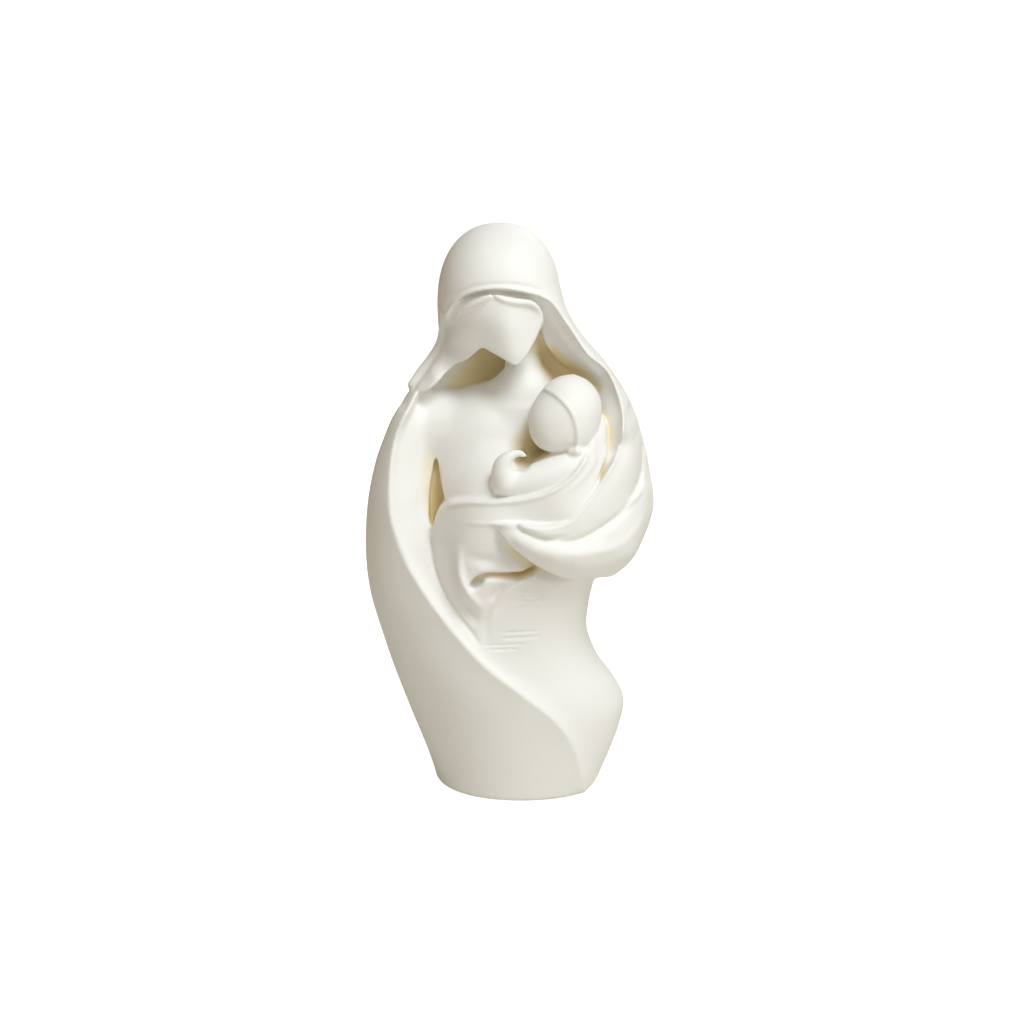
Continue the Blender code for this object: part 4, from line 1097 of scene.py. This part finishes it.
def cream_cast():
    """Matt cream casting with warm, darker shade painted into its folds, faintly mottled, with a fine
    grain.
    """
    material = bpy.data.materials.new("cream_cast")
    material.use_nodes = True
    nodes = material.node_tree.nodes
    link = material.node_tree.links.new
    shader = nodes["Principled BSDF"]
    shader.inputs["Metallic"].default_value = 0.0
    shader.inputs["IOR"].default_value = 1.46

    place = nodes.new("ShaderNodeTexCoord").outputs["Object"]
    # Painted shade: the cream turns warmer and darker the deeper in a fold a point lies.
    fold = nodes.new("ShaderNodeAttribute")
    fold.attribute_name = "painted_shade_depth"
    painted_shade_ramp = nodes.new("ShaderNodeValToRGB")
    open_cloth, deep_fold = painted_shade_ramp.color_ramp.elements
    open_cloth.position = FOLD_START
    open_cloth.color = CREAM
    deep_fold.position = FOLD_BOTTOM
    deep_fold.color = PAINTED_DEEP_SHADE
    fold_side = painted_shade_ramp.color_ramp.elements.new(FOLD_SIDE)
    fold_side.color = PAINTED_WARM_SHADE
    link(fold.outputs["Fac"], painted_shade_ramp.inputs["Fac"])

    clouds = nodes.new("ShaderNodeTexNoise")
    clouds.inputs["Scale"].default_value = CLOUD_SCALE
    clouds.inputs["Detail"].default_value = 3.0
    link(place, clouds.inputs["Vector"])
    shade = nodes.new("ShaderNodeMapRange")
    shade.inputs["To Min"].default_value = CLOUD_SHADES[0]
    shade.inputs["To Max"].default_value = CLOUD_SHADES[1]
    link(clouds.outputs["Fac"], shade.inputs["Value"])
    mottled = nodes.new("ShaderNodeVectorMath")
    mottled.operation = "SCALE"
    link(painted_shade_ramp.outputs["Color"], mottled.inputs[0])
    link(shade.outputs["Result"], mottled.inputs["Scale"])
    link(mottled.outputs[0], shader.inputs["Base Color"])

    rough = nodes.new("ShaderNodeMapRange")
    rough.inputs["To Min"].default_value = CLOUD_ROUGHNESS[0]
    rough.inputs["To Max"].default_value = CLOUD_ROUGHNESS[1]
    link(clouds.outputs["Fac"], rough.inputs["Value"])
    link(rough.outputs["Result"], shader.inputs["Roughness"])

    grain = nodes.new("ShaderNodeTexNoise")
    grain.inputs["Scale"].default_value = GRAIN_SCALE
    grain.inputs["Detail"].default_value = 2.0
    link(place, grain.inputs["Vector"])
    bump = nodes.new("ShaderNodeBump")
    bump.inputs["Strength"].default_value = GRAIN_STRENGTH
    bump.inputs["Distance"].default_value = GRAIN_HEIGHT
    link(grain.outputs["Fac"], bump.inputs["Height"])
    link(bump.outputs["Normal"], shader.inputs["Normal"])
    return material


def studio_floor():
    """A pale floor, which the camera sees a little brighter than its light makes it."""
    mesh = bpy.data.meshes.new("floor")
    corners = [(FLOOR_HALF * x, FLOOR_HALF * y, 0) for x, y in ((-1, -1), (1, -1), (1, 1), (-1, 1))]
    mesh.from_pydata(corners, [], [(0, 1, 2, 3)])
    floor = bpy.data.objects.new("floor", mesh)
    bpy.context.scene.collection.objects.link(floor)
    material = bpy.data.materials.new("pale_floor")
    material.use_nodes = True
    nodes = material.node_tree.nodes
    link = material.node_tree.links.new
    shader = nodes["Principled BSDF"]
    shader.inputs["Base Color"].default_value = FLOOR_CREAM
    shader.inputs["Roughness"].default_value = 0.9
    shader.inputs["Emission Color"].default_value = STUDIO_WHITE
    seen = nodes.new("ShaderNodeLightPath")
    glow = nodes.new("ShaderNodeMath")
    glow.operation = "MULTIPLY"
    glow.inputs[1].default_value = FLOOR_GLOW
    link(seen.outputs["Is Camera Ray"], glow.inputs[0])
    link(glow.outputs[0], shader.inputs["Emission Strength"])
    mesh.materials.append(material)


def soft_light(name, place, power, size):
    lamp = bpy.data.lights.new(name, "AREA")
    lamp.energy = power
    lamp.size = size
    lamp.color = COOL_WHITE
    holder = bpy.data.objects.new(name, lamp)
    bpy.context.scene.collection.objects.link(holder)
    holder.location = place
    aim = Vector((0, 0, LIGHT_AIM)) - Vector(place)
    holder.rotation_euler = aim.to_track_quat("-Z", "Y").to_euler()


def studio_light():
    """White behind the figure, a warm dim room round it, and cool lights, most of all from the right."""
    world = bpy.data.worlds.new("studio")
    bpy.context.scene.world = world
    world.use_nodes = True
    nodes = world.node_tree.nodes
    link = world.node_tree.links.new
    background = nodes["Background"]
    seen = nodes.new("ShaderNodeLightPath")
    choice = nodes.new("ShaderNodeMix")
    choice.data_type = "RGBA"
    choice.inputs["A"].default_value = ROOM_GLOW
    choice.inputs["B"].default_value = BACKDROP_WHITE
    link(seen.outputs["Is Camera Ray"], choice.inputs["Factor"])
    link(choice.outputs["Result"], background.inputs["Color"])
    soft_light("key", (0.38, -0.60, 1.10), 9.6, 0.5)
    soft_light("side", (0.92, -0.55, 0.45), 1.7, 0.6)
    soft_light("front", (0.10, -1.15, 0.50), 1.3, 0.8)
    soft_light("back", (0.32, 1.10, 0.80), 3.2, 0.7)
    bpy.context.scene.view_settings.view_transform = "Standard"


def photo_camera():
    lens = bpy.data.cameras.new("camera")
    lens.sensor_width = CAMERA_SENSOR
    lens.lens = CAMERA_LENS
    lens.clip_start = 0.01
    camera = bpy.data.objects.new("camera", lens)
    bpy.context.scene.collection.objects.link(camera)
    rise = math.radians(CAMERA_RISE)
    camera.location = (0, -CAMERA_REACH * math.cos(rise), CAMERA_AIM + CAMERA_REACH * math.sin(rise))
    aim = Vector((0, 0, CAMERA_AIM)) - camera.location
    camera.rotation_euler = aim.to_track_quat("-Z", "Y").to_euler()
    bpy.context.scene.camera = camera


photo_camera()
studio_floor()
studio_light()
cast_figure()
